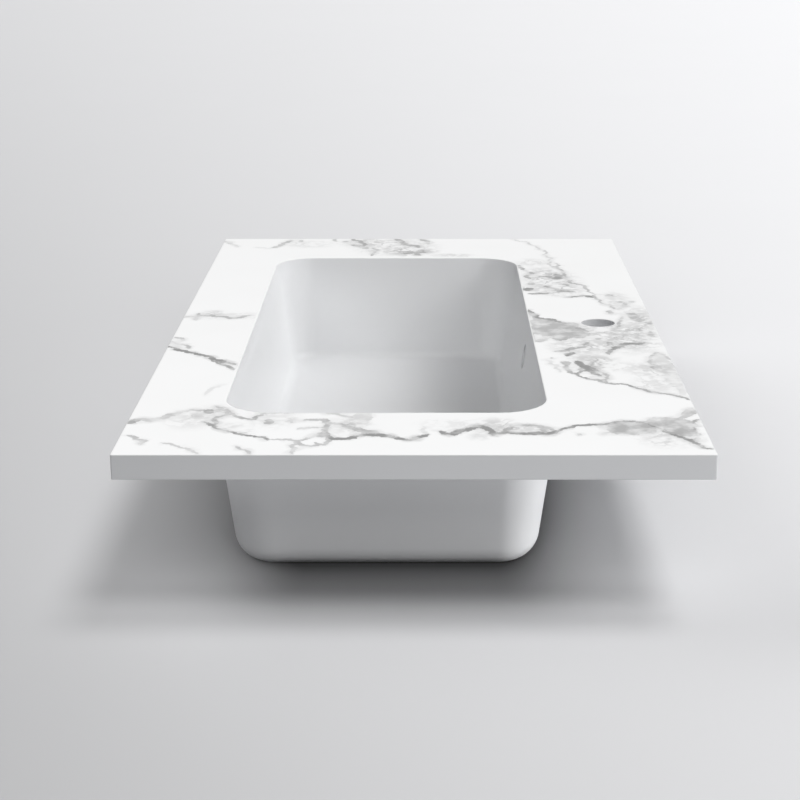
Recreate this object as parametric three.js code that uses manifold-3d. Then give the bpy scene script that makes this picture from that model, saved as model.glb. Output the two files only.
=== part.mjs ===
// A washbasin top: a slab with a thin marble-look surface, a cast bowl let into a rebate under the slab,
// a duct that leads the overflow to the waste, a push-open waste with its plug, and the plates that hold
// the bowl up. Millimetres. +X runs along the slab, +Y points to the wall and +Z up. The origin is in the
// plane of the slab's underside, at the middle of the slab.
import * as THREE from 'three';
import { mergeVertices, toCreasedNormals } from 'three/addons/utils/BufferGeometryUtils.js';
import Module from 'manifold-3d';

const wasm = await Module();
wasm.setup();

// Slab
const rimLength = 660;
const rimWidth = 290;
const endMargin = 120;
const frontMargin = 79;
const backMargin = 131;
const slabThickness = 22;
const surfaceThickness = 0.8;
const edgeBevel = 1.5;
const lowerBevel = 1;

// Tap hole
const tapHoleDiameter = 35;
const tapPlaceShare = 0.445; // of the back margin, from the back edge to the hole's middle

// Bowl
const rimCornerRadius = 45;
const wallDraftDegrees = 8.3;
const wallThickness = 13;
const bowlDepth = 123; // from the slab's top to the floor at the foot of the walls
const floorFall = 6; // from the foot of the walls to the waste
const floorThickness = 17; // at the waste
const floorFillet = 12;
const bottomFillet = 26;
const flangeWidth = 22;
const flangeThickness = 10;
const rebateClearance = 1;
const beadWidth = 5;
const beadHeight = 1.5;
const beadClearance = 0.3;

// Overflow
const overflowDiameter = 24;
const overflowCover = 2.5; // from the slab's underside to the top of the hole
const ductSideMargin = 5; // from the overflow hole to the duct's inner wall
const ductDepth = 14;
const ductWall = 3;
const ductLip = 8;
const ductLipThickness = 2.5;
const ductCollarGap = 6.25; // round the waste's tube
const bondGap = 0.3;

// Waste
const wasteTubeDiameter = 41.5;
const wasteTubeWall = 2.75;
const wasteHoleClearance = 2.25;
const wasteFlangeWidth = 11.25; // from the tube to the flange's edge
const wasteFlangeThickness = 3.5;
const wasteFlangeEdge = 1.2;
const wasteRecessDepth = 4;
const wasteRecessClearance = 1;
const wasteTailLength = 20; // below the nut, for the trap
const topGasketThickness = 1.5;
const lowerGasketHeight = 5;
const lowerGasketWidth = 7.85;
const lowerGasketTaper = 3;
const washerThickness = 1.5;
const washerWidth = 5.85;
const nutHeight = 9;
const nutWall = 3.85; // at the flats
const nutFlangeHeight = 2.5;
const threadClearance = 0.4;
const overflowSlotWidth = 13;
const overflowSlotMargin = 2;
const spiderHubWall = 2.8;
const spiderHubHeight = 8;
const spiderArmThickness = 3;

// Plug
const plugMargin = 3.5; // from the plug's edge to the flange's edge
const plugEdge = 1.5;
const plugDome = 3;
const plugTravel = 8;
const plugSeatClearance = 0.3;
const plugBossWall = 3.3;
const plugBossHeight = 6;
const plugStopGap = 2;
const sealThickness = 1.5;
const sealMargin = 3.5; // from the seal's edge to the plug's edge
const sealClearance = 1;
const stemDiameter = 8;
const stemClearance = 0.2;
const stemEndGap = 0.3;
const plungerThickness = 3;
const plungerClearance = 0.4;
const cartridgeBore = 12;
const cartridgeSideWall = 2.5;
const cartridgeEndWall = 2;
const cartridgeStubDiameter = 10;
const springClearance = 0.8;
const springWire = 0.9;
const springRestLength = 8;
const springTurns = 5;
const springEndGap = 0.2;

// Fixings
const clipShares = [-0.375, -0.125, 0.125, 0.375]; // places along the rim's length
const clipLength = 44;
const clipWidth = 22;
const clipThickness = 3;
const clipCorner = 5;
const clipBearing = 15; // length of the clip that lies under the bowl's flange
const clipScrewReach = 13; // from the flange's edge to the screw
const clipSlotClearance = 0.6;
const clipSlotTravel = 6; // how far the clip can slide on its screw
const screwShankDiameter = 5.8;
const screwEndGap = 1; // from the screw's end to the insert's
const screwHeadDiameter = 11;
const screwHeadHeight = 4;
const screwSocket = 4; // across flats
const screwSocketDepth = 2.2;
const insertBoreClearance = 0.2;
const insertWall = 1.2;
const insertLength = 12;
const insertCollarWidth = 0.95;
const insertCollarHeight = 1.2;
const insertClearance = 0.1;

// How finely round shapes are cut, in counts
const cornerSteps = 8;
const filletSteps = 5;
const outlineSteps = 2;
const roundSteps = 32;
const smallRoundSteps = 16;
const domeSteps = 5;
const springStepsPerTurn = 8;
const springSides = 6;

// How far a cutting shape runs past the face that it cuts
const overrun = 5;

// Sizes and places that follow from those above
const degree = Math.PI / 180;
const slabLength = rimLength + 2 * endMargin;
const slabWidth = frontMargin + rimWidth + backMargin;
const basinY = (frontMargin - backMargin) / 2;
const draftRun = Math.tan(wallDraftDegrees * degree);
const draftCosine = Math.cos(wallDraftDegrees * degree);
const surfaceUnderside = slabThickness - surfaceThickness;
const tapY = slabWidth / 2 - backMargin * tapPlaceShare;
const floorEdgeZ = slabThickness - bowlDepth;
const floorLowZ = floorEdgeZ - floorFall;
const bowlBottomZ = floorLowZ - floorThickness;
const flangeInset = wallInset(flangeThickness) - wallThickness - flangeWidth;
const overflowZ = -overflowCover - overflowDiameter / 2;
const ductInnerWidth = overflowDiameter + 2 * ductSideMargin;
const ductCollarInnerDiameter = wasteTubeDiameter + 2 * ductCollarGap;
const ductOuterDepth = bondGap + ductDepth + ductWall;
const ductBottomZ = bowlBottomZ - ductOuterDepth;

const wasteSeatZ = floorLowZ - wasteRecessDepth;
const wasteFlangeUndersideZ = wasteSeatZ + topGasketThickness;
const wasteTopZ = wasteFlangeUndersideZ + wasteFlangeThickness;
const wasteBore = wasteTubeDiameter - 2 * wasteTubeWall;
const wasteHoleDiameter = wasteTubeDiameter + 2 * wasteHoleClearance;
const wasteFlangeDiameter = wasteTubeDiameter + 2 * wasteFlangeWidth;
const wasteRecessDiameter = wasteFlangeDiameter + 2 * wasteRecessClearance;
const lowerGasketBottomZ = ductBottomZ - lowerGasketHeight;
const washerBottomZ = lowerGasketBottomZ - washerThickness;
const nutBottomZ = washerBottomZ - nutHeight;
const wasteEndZ = nutBottomZ - wasteTailLength;
const threadHoleDiameter = wasteTubeDiameter + 2 * threadClearance;
const washerDiameter = threadHoleDiameter + 2 * washerWidth;

const plugDiameter = wasteFlangeDiameter - 2 * plugMargin;
const sealDiameter = plugDiameter - 2 * sealMargin;
const plugSeatDiameter = sealDiameter + 2 * sealClearance;
const plugSeatZ = wasteTopZ - sealThickness;
const stemHoleDiameter = stemDiameter + 2 * stemClearance;
const plugBossDiameter = stemHoleDiameter + 2 * plugBossWall;
const cartridgeStubHoleDiameter = cartridgeStubDiameter + 2 * stemClearance;
const plugUndersideZ = wasteTopZ + plugSeatClearance;
const bossBottomZ = plugUndersideZ - plugBossHeight;
const cartridgeTopZ = bossBottomZ - plugStopGap;
const cartridgeCeilingZ = cartridgeTopZ - cartridgeEndWall;
const plungerTopZ = cartridgeCeilingZ - plugTravel - stemEndGap;
const plungerBottomZ = plungerTopZ - plungerThickness;
const cartridgeFloorZ = plungerBottomZ - springRestLength;
const cartridgeBottomZ = cartridgeFloorZ - cartridgeEndWall;
const stemTopZ = plugUndersideZ - stemEndGap;

const insertBore = screwShankDiameter + 2 * insertBoreClearance;
const insertDiameter = insertBore + 2 * insertWall;
const insertCollarDiameter = insertDiameter + 2 * insertCollarWidth;
const clipSlotWidth = screwShankDiameter + 2 * clipSlotClearance;

// Materials, one for each finish
const finishes = {
  slabWhite: new THREE.MeshStandardMaterial({ color: 0xe9eaec, roughness: 0.45, metalness: 0 }),
  marble: new THREE.MeshStandardMaterial({ color: 0xf4f4f4, roughness: 0.25, metalness: 0 }),
  bowlWhite: new THREE.MeshStandardMaterial({ color: 0xeff0f1, roughness: 0.12, metalness: 0 }),
  bond: new THREE.MeshStandardMaterial({ color: 0xf2f2ee, roughness: 0.6, metalness: 0 }),
  ductPlastic: new THREE.MeshStandardMaterial({ color: 0xdfe1e3, roughness: 0.5, metalness: 0 }),
  chrome: new THREE.MeshStandardMaterial({ color: 0xcfd3d6, roughness: 0.08, metalness: 1 }),
  rubber: new THREE.MeshStandardMaterial({ color: 0x26272a, roughness: 0.8, metalness: 0 }),
  darkPlastic: new THREE.MeshStandardMaterial({ color: 0x3a3d42, roughness: 0.5, metalness: 0 }),
  steel: new THREE.MeshStandardMaterial({ color: 0xb9bcc0, roughness: 0.35, metalness: 1 }),
  brass: new THREE.MeshStandardMaterial({ color: 0xc9a45c, roughness: 0.35, metalness: 1 }),
};

// Shapes as solids

// A closed geometry as a solid that can be joined and cut, its faces turned outwards.
function solid(geometry) {
  const bare = new THREE.BufferGeometry();
  bare.setAttribute('position', geometry.getAttribute('position'));
  bare.setIndex(geometry.index);
  const merged = mergeVertices(bare);
  const corners = merged.index.array;
  const build = (turned) => {
    const triangles = [];
    for (let i = 0; i < corners.length; i += 3) {
      const [a, b, c] = [corners[i], corners[i + 1], corners[i + 2]];
      if (a !== b && b !== c && c !== a) {
        triangles.push(a, ...(turned ? [c, b] : [b, c]));
      }
    }
    return new wasm.Manifold(new wasm.Mesh({
      numProp: 3,
      vertProperties: merged.attributes.position.array,
      triVerts: new Uint32Array(triangles),
    }));
  };
  const made = build(false);
  return made.volume() < 0 ? build(true) : made;
}

// A solid back as a geometry, with its round faces shaded smooth and its edges sharp.
function surfaceOf(shape) {
  const { vertProperties, triVerts } = shape.getMesh();
  const geometry = new THREE.BufferGeometry();
  geometry.setAttribute('position', new THREE.BufferAttribute(vertProperties, 3));
  geometry.setIndex(new THREE.BufferAttribute(triVerts, 1));
  return toCreasedNormals(geometry, 30 * degree);
}

const half = (size) => size / 2;
const join = (first, ...others) => others.reduce((whole, other) => whole.add(other), first);
const cut = (blank, ...tools) => tools.reduce((rest, tool) => rest.subtract(tool), blank);

// A ring of points round a rectangle with rounded corners. Equal half sides and radius give a circle.
function ring(halfLength, halfWidth, radius, z) {
  const round = Math.max(radius, 0);
  const points = [];
  for (const [corner, alongSign, acrossSign] of [[0, 1, 1], [1, -1, 1], [2, -1, -1], [3, 1, -1]]) {
    for (let step = 0; step <= cornerSteps; step += 1) {
      const turn = (corner + step / cornerSteps) * 90 * degree;
      const x = alongSign * (halfLength - round) + round * Math.cos(turn);
      const y = acrossSign * (halfWidth - round) + round * Math.sin(turn);
      points.push(new THREE.Vector3(x, y, z));
    }
  }
  return points;
}

const circle = (diameter, z) => ring(diameter / 2, diameter / 2, diameter / 2, z);

// The outline of the rim at height z, moved inwards by inset, about the basin's middle.
function rimRing(inset, z) {
  return ring(rimLength / 2 - inset, rimWidth / 2 - inset, rimCornerRadius - inset, z);
}

// The outline of the slab at height z, moved inwards by inset.
function slabRing(inset, z) {
  return ring(slabLength / 2 - inset, slabWidth / 2 - inset, edgeBevel - inset, z);
}

// Rings joined one to the next: a looped loft joins its last ring to its first, and any other has flat ends.
function loft(rings, looped = false) {
  const count = rings[0].length;
  const index = [];
  for (let band = 0; band < rings.length - (looped ? 0 : 1); band += 1) {
    const low = band * count;
    const high = ((band + 1) % rings.length) * count;
    for (let i = 0; i < count; i += 1) {
      const next = (i + 1) % count;
      index.push(low + i, low + next, high + next, low + i, high + next, high + i);
    }
  }
  if (!looped) {
    const last = (rings.length - 1) * count;
    for (let i = 1; i < count - 1; i += 1) {
      index.push(0, i + 1, i, last, last + i, last + i + 1);
    }
  }
  const geometry = new THREE.BufferGeometry();
  const places = rings.flat().flatMap((point) => point.toArray());
  geometry.setAttribute('position', new THREE.Float32BufferAttribute(places, 3));
  geometry.setIndex(index);
  return solid(geometry);
}

// A profile of radius and height pairs turned about the Z axis. It closes on itself where it stays off
// the axis.
function turned(profile, steps = roundSteps) {
  const points = profile.map(([radius, z]) => new THREE.Vector2(radius, z));
  if (profile[0][0] > 0) {
    points.push(points[0].clone());
  }
  return solid(new THREE.LatheGeometry(points, steps).rotateX(90 * degree));
}

// A plain round bar between two heights.
function bar(diameter, lowZ, highZ, steps = roundSteps) {
  return turned([[0, lowZ], [diameter / 2, lowZ], [diameter / 2, highZ], [0, highZ]], steps);
}

// A flat ring between two heights.
function collar(innerDiameter, outerDiameter, lowZ, highZ) {
  const [inner, outer] = [innerDiameter / 2, outerDiameter / 2];
  return turned([[inner, lowZ], [outer, lowZ], [outer, highZ], [inner, highZ]]);
}

// A block between two corners.
function block(low, high) {
  const size = high.map((value, axis) => value - low[axis]);
  const middle = high.map((value, axis) => (value + low[axis]) / 2);
  return solid(new THREE.BoxGeometry(...size).translate(...middle));
}

// A flat outline raised from one height to another.
function raised(outline, lowZ, highZ) {
  const settings = { depth: highZ - lowZ, bevelEnabled: false, curveSegments: outlineSteps };
  return solid(new THREE.ExtrudeGeometry(outline, settings).translate(0, 0, lowZ));
}

// The six-sided bar that a spanner or a key fits, between two heights.
function hexagonBar(acrossFlats, lowZ, highZ) {
  const radius = acrossFlats / 2 / Math.cos(30 * degree);
  return bar(2 * radius, lowZ, highZ, 6);
}

// The bowl's walls

// How far the inner wall has leant in from the rim by height z.
function wallInset(z) {
  return (slabThickness - z) * draftRun;
}

// The fillet at the foot of a leaning wall, as inset and height pairs from the wall to the foot. The wall
// stands outside the inner wall by offset, measured level.
function footArc(offset, footZ, radius) {
  const centreZ = footZ + radius;
  const centreInset = wallInset(centreZ) - offset + radius / draftCosine;
  const points = [];
  for (let step = 0; step <= filletSteps; step += 1) {
    const start = 180 + wallDraftDegrees;
    const turn = (start + (270 - start) * step / filletSteps) * degree;
    points.push([centreInset + radius * Math.cos(turn), centreZ + radius * Math.sin(turn)]);
  }
  return points;
}

// Slab and marble-look surface, cut from one blank

function tapHole() {
  const radius = tapHoleDiameter / 2;
  return turned([
    [0, -overrun],
    [radius, -overrun],
    [radius, slabThickness - edgeBevel],
    [radius + edgeBevel, slabThickness],
    [radius + edgeBevel, slabThickness + overrun],
    [0, slabThickness + overrun],
  ]).translate([0, tapY, 0]);
}

function bowlOpening() {
  const bevelFoot = slabThickness - edgeBevel;
  return loft([
    rimRing(wallInset(-overrun), -overrun),
    rimRing(wallInset(bevelFoot), bevelFoot),
    rimRing(-edgeBevel, slabThickness),
    rimRing(-edgeBevel, slabThickness + overrun),
  ]).translate([0, basinY, 0]);
}

function flangeRebate() {
  const inset = flangeInset - rebateClearance;
  return loft([rimRing(inset, -overrun), rimRing(inset, flangeThickness)]).translate([0, basinY, 0]);
}

function slabBlank() {
  const blank = loft([
    slabRing(lowerBevel, 0),
    slabRing(0, lowerBevel),
    slabRing(0, slabThickness - edgeBevel),
    slabRing(edgeBevel, slabThickness),
  ]);
  return cut(blank, bowlOpening(), tapHole());
}

// All of the space above or below the joint between the slab's core and its surface.
function spaceBeyondJoint(side) {
  const reach = [slabLength, slabWidth];
  const edge = side > 0 ? slabThickness + overrun : -overrun;
  const heights = [surfaceUnderside, edge].sort((a, b) => a - b);
  return block([-reach[0], -reach[1], heights[0]], [reach[0], reach[1], heights[1]]);
}

function topSlab() {
  const holes = clipPlaces().map(({ x, screwY }) => insertHole().translate([x, screwY, 0]));
  return cut(slabBlank(), spaceBeyondJoint(1), flangeRebate(), ...holes);
}

function marbleSurface() {
  return cut(slabBlank(), spaceBeyondJoint(-1));
}

// Bowl, about its own middle

function bowl() {
  const shell = loft([
    circle(wasteHoleDiameter, wasteSeatZ),
    circle(wasteRecessDiameter, wasteSeatZ),
    circle(wasteRecessDiameter, floorLowZ),
    ...footArc(0, floorEdgeZ, floorFillet).reverse().map(([inset, z]) => rimRing(inset, z)),
    rimRing(wallInset(flangeThickness), flangeThickness),
    rimRing(flangeInset, flangeThickness),
    rimRing(flangeInset, 0),
    rimRing(wallInset(0) - wallThickness, 0),
    ...footArc(wallThickness, bowlBottomZ, bottomFillet).map(([inset, z]) => rimRing(inset, z)),
    circle(wasteHoleDiameter, bowlBottomZ),
  ], true);
  return cut(shell, overflowHole(), bondBead(beadClearance));
}

function overflowHole() {
  const drill = bar(overflowDiameter, 0, wallThickness + flangeWidth + overrun, roundSteps);
  const wallY = rimWidth / 2 - wallInset(overflowZ) - overrun;
  return drill.rotate([-90, 0, 0]).translate([0, wallY, overflowZ]);
}

// The bead of adhesive in the flange's groove, or the groove itself, which is wider by the clearance.
function bondBead(clearance = 0) {
  const middle = flangeInset + (flangeWidth + wallThickness) / 2;
  const [outside, inside] = [middle - beadWidth / 2 - clearance, middle + beadWidth / 2 + clearance];
  const bottom = flangeThickness - beadHeight;
  const top = clearance > 0 ? flangeThickness + overrun : flangeThickness;
  return loft([
    rimRing(outside, bottom),
    rimRing(outside, top),
    rimRing(inside, top),
    rimRing(inside, bottom),
  ], true);
}

// Overflow duct, about the bowl's middle: a half shell whose open side is bonded to the bowl

// The wall behind the bowl and the run under it, between two distances from the bowl's outer face.
function ductBand(near, far, halfWidth, topZ) {
  const face = (distance) => {
    const offset = wallThickness + distance / draftCosine;
    const top = [wallInset(topZ) - offset, topZ];
    const foot = footArc(offset, bowlBottomZ - distance, bottomFillet + distance);
    const middle = [rimWidth / 2, bowlBottomZ - distance];
    return [top, ...foot, middle].map(([inset, z]) => [rimWidth / 2 - inset, z]);
  };
  const outline = [...face(near), ...face(far).reverse()].map(([y, z]) => new THREE.Vector2(y, z));
  const settings = { depth: 2 * halfWidth, bevelEnabled: false };
  const side = new THREE.ExtrudeGeometry(new THREE.Shape(outline), settings);
  return solid(side.rotateY(90 * degree).rotateX(90 * degree).translate(-halfWidth, 0, 0));
}

function overflowDuct() {
  const halfBore = ductInnerWidth / 2;
  const halfShell = halfBore + ductWall;
  const halfLip = halfShell + ductLip;
  const lipDepth = bondGap + ductLipThickness;
  const cavityDepth = bondGap + ductDepth;
  const collarOuter = ductCollarInnerDiameter + 2 * ductWall;
  const topZ = -bondGap;
  const wallY = rimWidth / 2 - wallInset(topZ) + wallThickness;
  const body = join(
    ductBand(bondGap, ductOuterDepth, halfShell, topZ),
    ductBand(bondGap, lipDepth, halfLip, topZ),
    bar(collarOuter, ductBottomZ, bowlBottomZ - bondGap),
    bar(collarOuter + 2 * ductLip, bowlBottomZ - lipDepth, bowlBottomZ - bondGap),
    block(
      [-halfLip, wallY + bondGap / draftCosine, topZ - ductLipThickness],
      [halfLip, wallY + ductOuterDepth + ductLip / 2, topZ],
    ),
  );
  return cut(
    body,
    ductBand(-overrun, cavityDepth, halfBore, overrun),
    bar(ductCollarInnerDiameter, bowlBottomZ - cavityDepth, bowlBottomZ + overrun),
    bar(threadHoleDiameter, ductBottomZ - overrun, bowlBottomZ),
  );
}

// Waste, about its own axis

function wasteBody() {
  const [flange, tube, bore, seat] = [
    wasteFlangeDiameter,
    wasteTubeDiameter,
    wasteBore,
    plugSeatDiameter,
  ].map(half);
  const shell = turned([
    [bore, plugSeatZ],
    [seat, plugSeatZ],
    [seat, wasteTopZ],
    [flange - wasteFlangeEdge, wasteTopZ],
    [flange, wasteTopZ - wasteFlangeEdge],
    [flange, wasteFlangeUndersideZ],
    [tube, wasteFlangeUndersideZ],
    [tube, wasteEndZ],
    [bore, wasteEndZ],
  ]);
  const hubBottomZ = cartridgeBottomZ - spiderHubHeight;
  const arms = [90, 210, 330].map((turn) => block(
    [0, -spiderArmThickness / 2, hubBottomZ],
    [bore + wasteTubeWall / 2, spiderArmThickness / 2, cartridgeBottomZ],
  ).rotate([0, 0, turn]));
  const spider = cut(
    join(bar(cartridgeStubHoleDiameter + 2 * spiderHubWall, hubBottomZ, cartridgeBottomZ), ...arms),
    bar(cartridgeStubHoleDiameter, hubBottomZ - overrun, cartridgeBottomZ + overrun),
  );
  const slotTopZ = bowlBottomZ - bondGap - overflowSlotMargin;
  const slotBottomZ = bowlBottomZ - bondGap - ductDepth + overflowSlotMargin;
  const slots = [0, 90, 180, 270].map((turn) => block(
    [bore - wasteTubeWall, -overflowSlotWidth / 2, slotBottomZ],
    [tube + overrun, overflowSlotWidth / 2, slotTopZ],
  ).rotate([0, 0, turn]));
  return join(cut(shell, ...slots), spider);
}

function topGasket() {
  const [inner, outer] = [threadHoleDiameter, wasteFlangeDiameter - wasteRecessClearance];
  return collar(inner, outer, wasteSeatZ, wasteFlangeUndersideZ);
}

function lowerGasket() {
  const inner = threadHoleDiameter / 2;
  const outer = inner + lowerGasketWidth;
  return turned([
    [inner, lowerGasketBottomZ],
    [outer - lowerGasketTaper, lowerGasketBottomZ],
    [outer, ductBottomZ],
    [inner, ductBottomZ],
  ]);
}

function wasteWasher() {
  return collar(threadHoleDiameter, washerDiameter, washerBottomZ, lowerGasketBottomZ);
}

function wasteNut() {
  const flange = bar(washerDiameter, washerBottomZ - nutFlangeHeight, washerBottomZ);
  const hexagon = hexagonBar(threadHoleDiameter + 2 * nutWall, nutBottomZ, washerBottomZ);
  return cut(join(flange, hexagon), bar(threadHoleDiameter, nutBottomZ - overrun, washerBottomZ + overrun));
}

// Plug and its cartridge, about the waste's axis

function plugCap() {
  const [edge, boss, hole] = [plugDiameter, plugBossDiameter, stemHoleDiameter].map(half);
  const edgeTopZ = plugUndersideZ + plugEdge;
  const sphere = (edge ** 2 + plugDome ** 2) / (2 * plugDome);
  const halfAngle = Math.asin(edge / sphere);
  const dome = [];
  for (let step = 0; step <= domeSteps; step += 1) {
    const turn = halfAngle * (1 - step / domeSteps);
    const radius = step === domeSteps ? 0 : sphere * Math.sin(turn);
    dome.push([radius, edgeTopZ + plugDome - sphere * (1 - Math.cos(turn))]);
  }
  return turned([
    [0, plugUndersideZ],
    [hole, plugUndersideZ],
    [hole, bossBottomZ],
    [boss, bossBottomZ],
    [boss, plugUndersideZ],
    [edge, plugUndersideZ],
    ...dome,
  ]);
}

function plugSeal() {
  const inner = plugBossDiameter + 2 * stemClearance;
  return collar(inner, sealDiameter, plugUndersideZ - sealThickness, plugUndersideZ);
}

function plugStem() {
  const [plunger, stem] = [cartridgeBore / 2 - plungerClearance, stemDiameter / 2];
  return turned([
    [0, plungerBottomZ],
    [plunger, plungerBottomZ],
    [plunger, plungerTopZ],
    [stem, plungerTopZ],
    [stem, stemTopZ],
    [0, stemTopZ],
  ], smallRoundSteps);
}

function plugCartridge() {
  const stubBottomZ = cartridgeBottomZ - spiderHubHeight;
  const [bore, hole, stub] = [cartridgeBore, stemHoleDiameter, cartridgeStubDiameter].map(half);
  const outer = bore + cartridgeSideWall;
  return turned([
    [0, stubBottomZ],
    [stub, stubBottomZ],
    [stub, cartridgeBottomZ],
    [outer, cartridgeBottomZ],
    [outer, cartridgeTopZ],
    [hole, cartridgeTopZ],
    [hole, cartridgeCeilingZ],
    [bore, cartridgeCeilingZ],
    [bore, cartridgeFloorZ],
    [0, cartridgeFloorZ],
  ], smallRoundSteps);
}

class Helix extends THREE.Curve {
  constructor(radius, turns, lowZ, highZ) {
    super();
    Object.assign(this, { radius, turns, lowZ, highZ });
  }

  getPoint(share, target = new THREE.Vector3()) {
    const turn = share * this.turns * 360 * degree;
    const height = this.lowZ + (this.highZ - this.lowZ) * share;
    return target.set(this.radius * Math.cos(turn), this.radius * Math.sin(turn), height);
  }
}

function plugSpring() {
  const endRoom = springWire / 2 + springEndGap;
  const path = new Helix(
    cartridgeBore / 2 - springClearance - springWire / 2,
    springTurns,
    cartridgeFloorZ + endRoom,
    plungerBottomZ - endRoom,
  );
  const section = [];
  for (let side = 0; side < springSides; side += 1) {
    const turn = side / springSides * 360 * degree;
    section.push(new THREE.Vector2(Math.cos(turn), Math.sin(turn)).multiplyScalar(springWire / 2));
  }
  return solid(new THREE.ExtrudeGeometry(new THREE.Shape(section), {
    steps: Math.round(springTurns * springStepsPerTurn),
    bevelEnabled: false,
    extrudePath: path,
  }));
}

// Fixings: each clip, its screw and the insert in the slab

// Where each clip sits: along the front of the bowl and along its back.
function clipPlaces() {
  const places = [];
  for (const side of [-1, 1]) {
    const flangeEdgeY = basinY + side * (rimWidth / 2 - flangeInset);
    for (const share of clipShares) {
      places.push({ side, x: share * rimLength, flangeEdgeY, screwY: flangeEdgeY + side * clipScrewReach });
    }
  }
  return places;
}

// A flat plate about its own screw, with one end under the flange on the given side and a slot for the screw.
function clipPlate(side) {
  const middleY = side * (clipLength / 2 - clipBearing - clipScrewReach);
  const plate = roundedOutline(clipWidth, clipLength, clipCorner, middleY);
  plate.holes.push(roundedOutline(clipSlotWidth, clipSlotWidth + clipSlotTravel, clipSlotWidth / 2, 0));
  return raised(plate, -clipThickness, 0);
}

// A rectangle with rounded corners, its middle on the Y axis.
function roundedOutline(width, length, corner, middleY) {
  const [x, y] = [width / 2 - corner, length / 2 - corner];
  const outline = new THREE.Shape();
  outline.absarc(x, middleY + y, corner, 0, 90 * degree);
  outline.absarc(-x, middleY + y, corner, 90 * degree, 180 * degree);
  outline.absarc(-x, middleY - y, corner, 180 * degree, 270 * degree);
  outline.absarc(x, middleY - y, corner, 270 * degree, 360 * degree);
  return outline;
}

function clipScrew() {
  const headTopZ = -clipThickness;
  const headBottomZ = headTopZ - screwHeadHeight;
  const blank = join(
    bar(screwHeadDiameter, headBottomZ, headTopZ, smallRoundSteps),
    bar(screwShankDiameter, headTopZ - screwHeadHeight / 2, insertLength - screwEndGap, smallRoundSteps),
  );
  return cut(blank, hexagonBar(screwSocket, headBottomZ - overrun, headBottomZ + screwSocketDepth));
}

function clipInsert() {
  const [bore, barrel, rim] = [insertBore, insertDiameter, insertCollarDiameter].map(half);
  return turned([
    [bore, 0],
    [rim, 0],
    [rim, insertCollarHeight],
    [barrel, insertCollarHeight],
    [barrel, insertLength],
    [bore, insertLength],
  ], smallRoundSteps);
}

// The hole that the insert and the screw's end go into.
function insertHole() {
  const barrel = insertDiameter / 2 + insertClearance;
  const rim = insertCollarDiameter / 2 + insertClearance;
  const endZ = insertLength + insertClearance;
  const collarZ = insertCollarHeight + insertClearance;
  return turned([
    [0, -overrun],
    [rim, -overrun],
    [rim, collarZ],
    [barrel, collarZ],
    [barrel, endZ],
    [0, endZ],
  ], smallRoundSteps);
}

// Assembly

function add(group, name, finish, shape) {
  const mesh = new THREE.Mesh(surfaceOf(shape), finish);
  mesh.name = name;
  group.add(mesh);
}

const washbasin = new THREE.Group();
add(washbasin, 'top_slab', finishes.slabWhite, topSlab());
add(washbasin, 'marble_surface', finishes.marble, marbleSurface());

const basin = new THREE.Group();
basin.position.y = basinY;
washbasin.add(basin);
add(basin, 'bowl', finishes.bowlWhite, bowl());
add(basin, 'bowl_bond_bead', finishes.bond, bondBead());
add(basin, 'overflow_duct', finishes.ductPlastic, overflowDuct());
add(basin, 'waste_body', finishes.chrome, wasteBody());
add(basin, 'waste_top_gasket', finishes.rubber, topGasket());
add(basin, 'waste_lower_gasket', finishes.rubber, lowerGasket());
add(basin, 'waste_washer', finishes.darkPlastic, wasteWasher());
add(basin, 'waste_nut', finishes.chrome, wasteNut());

const plug = new THREE.Group();
basin.add(plug);
add(plug, 'plug_cap', finishes.chrome, plugCap());
add(plug, 'plug_seal', finishes.rubber, plugSeal());
add(plug, 'plug_stem', finishes.brass, plugStem());
add(plug, 'plug_cartridge', finishes.darkPlastic, plugCartridge());
add(plug, 'plug_spring', finishes.steel, plugSpring());

clipPlaces().forEach(({ side, x, screwY }, order) => {
  const fixing = new THREE.Group();
  fixing.position.set(x, screwY, 0);
  washbasin.add(fixing);
  add(fixing, `bowl_clip_${order + 1}`, finishes.steel, clipPlate(side));
  add(fixing, `clip_screw_${order + 1}`, finishes.steel, clipScrew());
  add(fixing, `clip_insert_${order + 1}`, finishes.brass, clipInsert());
});

export default washbasin;
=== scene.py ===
import random
from math import asin, copysign, cos, pi, radians, sin, sqrt, tan, tau

import bmesh
import bpy
import numpy as np
from mathutils import Matrix, Vector
from mathutils.geometry import delaunay_2d_cdt


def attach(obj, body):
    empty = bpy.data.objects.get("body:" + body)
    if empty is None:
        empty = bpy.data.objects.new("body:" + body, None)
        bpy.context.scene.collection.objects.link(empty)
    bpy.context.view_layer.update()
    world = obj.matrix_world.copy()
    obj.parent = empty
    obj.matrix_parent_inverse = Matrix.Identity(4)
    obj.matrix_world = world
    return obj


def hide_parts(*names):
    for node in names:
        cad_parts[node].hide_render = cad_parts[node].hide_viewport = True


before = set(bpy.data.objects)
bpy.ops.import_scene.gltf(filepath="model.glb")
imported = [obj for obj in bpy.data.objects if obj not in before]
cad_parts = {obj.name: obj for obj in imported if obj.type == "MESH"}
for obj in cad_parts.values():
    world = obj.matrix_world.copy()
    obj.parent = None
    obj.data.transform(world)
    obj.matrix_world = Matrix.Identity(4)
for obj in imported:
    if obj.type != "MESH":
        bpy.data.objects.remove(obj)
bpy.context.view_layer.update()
print("frame loaded")

# Lengths are in millimetres, and a finished mesh is brought to metres.
# +X runs along the slab, +Y points to the wall, and the slab's underside is at height 0.
toMetres = 0.001
# how far a cutting tool goes past what it cuts
past = 5

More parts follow.
